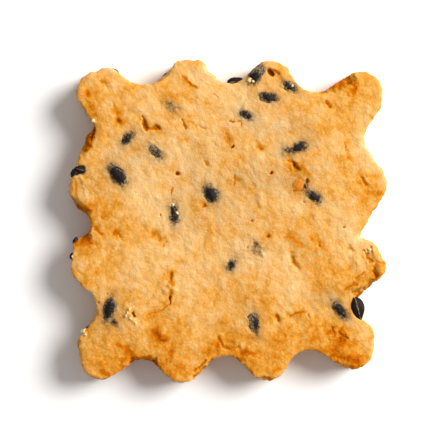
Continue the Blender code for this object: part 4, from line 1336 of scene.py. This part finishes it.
# %% Floor, light and camera
FLOOR_SIZE, FLOOR_WHITE, FLOOR_ROUGHNESS = 1.2, (0.85, 0.85, 0.85, 1.0), 0.9
LAMP_TURN, LAMP_RISE = math.radians(26), math.radians(40)
LAMP_DISTANCE, LAMP_SIZE, LAMP_POWER = 0.8, 0.52, 12.5
LAMP_COLOUR, SKY_COLOUR, SKY_LIGHT = (1.0, 0.985, 0.96), (1.0, 0.97, 0.96, 1.0), 0.42
# Millimetres: lens and sensor, the width of the picture at the cookie's top and that
# height, and the point that the middle of the picture shows.
CAMERA_LENS, CAMERA_SENSOR = 200.0, 36.0
CAMERA_FIELD, CAMERA_PLANE = 60.9, 5.5
CAMERA_AIM = (-1.54, 0.46)


def studio_floor():
    """A white matt table under the cookie."""
    table = bmesh.new()
    bmesh.ops.create_grid(table, x_segments=1, y_segments=1, size=FLOOR_SIZE / 2)
    floor = joined_piece("studio_floor", table)
    material, tree = new_material("white_table")
    shader = add_node(
        tree, "ShaderNodeBsdfPrincipled", Base_Color=FLOOR_WHITE, Roughness=FLOOR_ROUGHNESS,
        Specular_IOR_Level=0.0,
    )
    add_node(tree, "ShaderNodeOutputMaterial", Surface=shader.outputs["BSDF"])
    floor.data.materials.append(material)


def soft_lamp():
    """A round lamp that points at the cookie."""
    toward = Vector((
        math.cos(LAMP_TURN) * math.cos(LAMP_RISE),
        math.sin(LAMP_TURN) * math.cos(LAMP_RISE),
        math.sin(LAMP_RISE),
    ))
    light = bpy.data.lights.new("soft_lamp", "AREA")
    light.shape = "DISK"
    light.size = LAMP_SIZE
    light.energy = LAMP_POWER
    light.color = LAMP_COLOUR
    lamp = bpy.data.objects.new("soft_lamp", light)
    lamp.location = toward * LAMP_DISTANCE
    lamp.rotation_mode = "QUATERNION"
    lamp.rotation_quaternion = toward.to_track_quat("Z", "Y")
    bpy.context.scene.collection.objects.link(lamp)


def pale_sky():
    """Even light from all round."""
    world = bpy.data.worlds.new("pale_sky")
    world.use_nodes = True
    background = world.node_tree.nodes["Background"]
    background.inputs["Color"].default_value = SKY_COLOUR
    background.inputs["Strength"].default_value = SKY_LIGHT
    bpy.context.scene.world = world


def camera_above():
    """A camera high above the cookie, which looks straight down."""
    data = bpy.data.cameras.new("camera")
    data.lens, data.sensor_width = CAMERA_LENS, CAMERA_SENSOR
    camera = bpy.data.objects.new("camera", data)
    height = CAMERA_PLANE + CAMERA_FIELD * CAMERA_LENS / CAMERA_SENSOR
    camera.location = Vector((*CAMERA_AIM, height)) * MM
    bpy.context.scene.collection.objects.link(camera)
    bpy.context.scene.camera = camera
    return height


studio_floor()
soft_lamp()
pale_sky()
print("camera height in mm:", camera_above())
bpy.context.scene.view_settings.view_transform = "Standard"
bpy.context.scene.view_settings.look = "None"

# %% [markdown]
# ## Finish
# The dressed cookie is meant to fill the imported solid's box, to within a few tenths of a
# millimetre. The script ends by updating the view layer.

# %% Finish
bpy.context.view_layer.update()
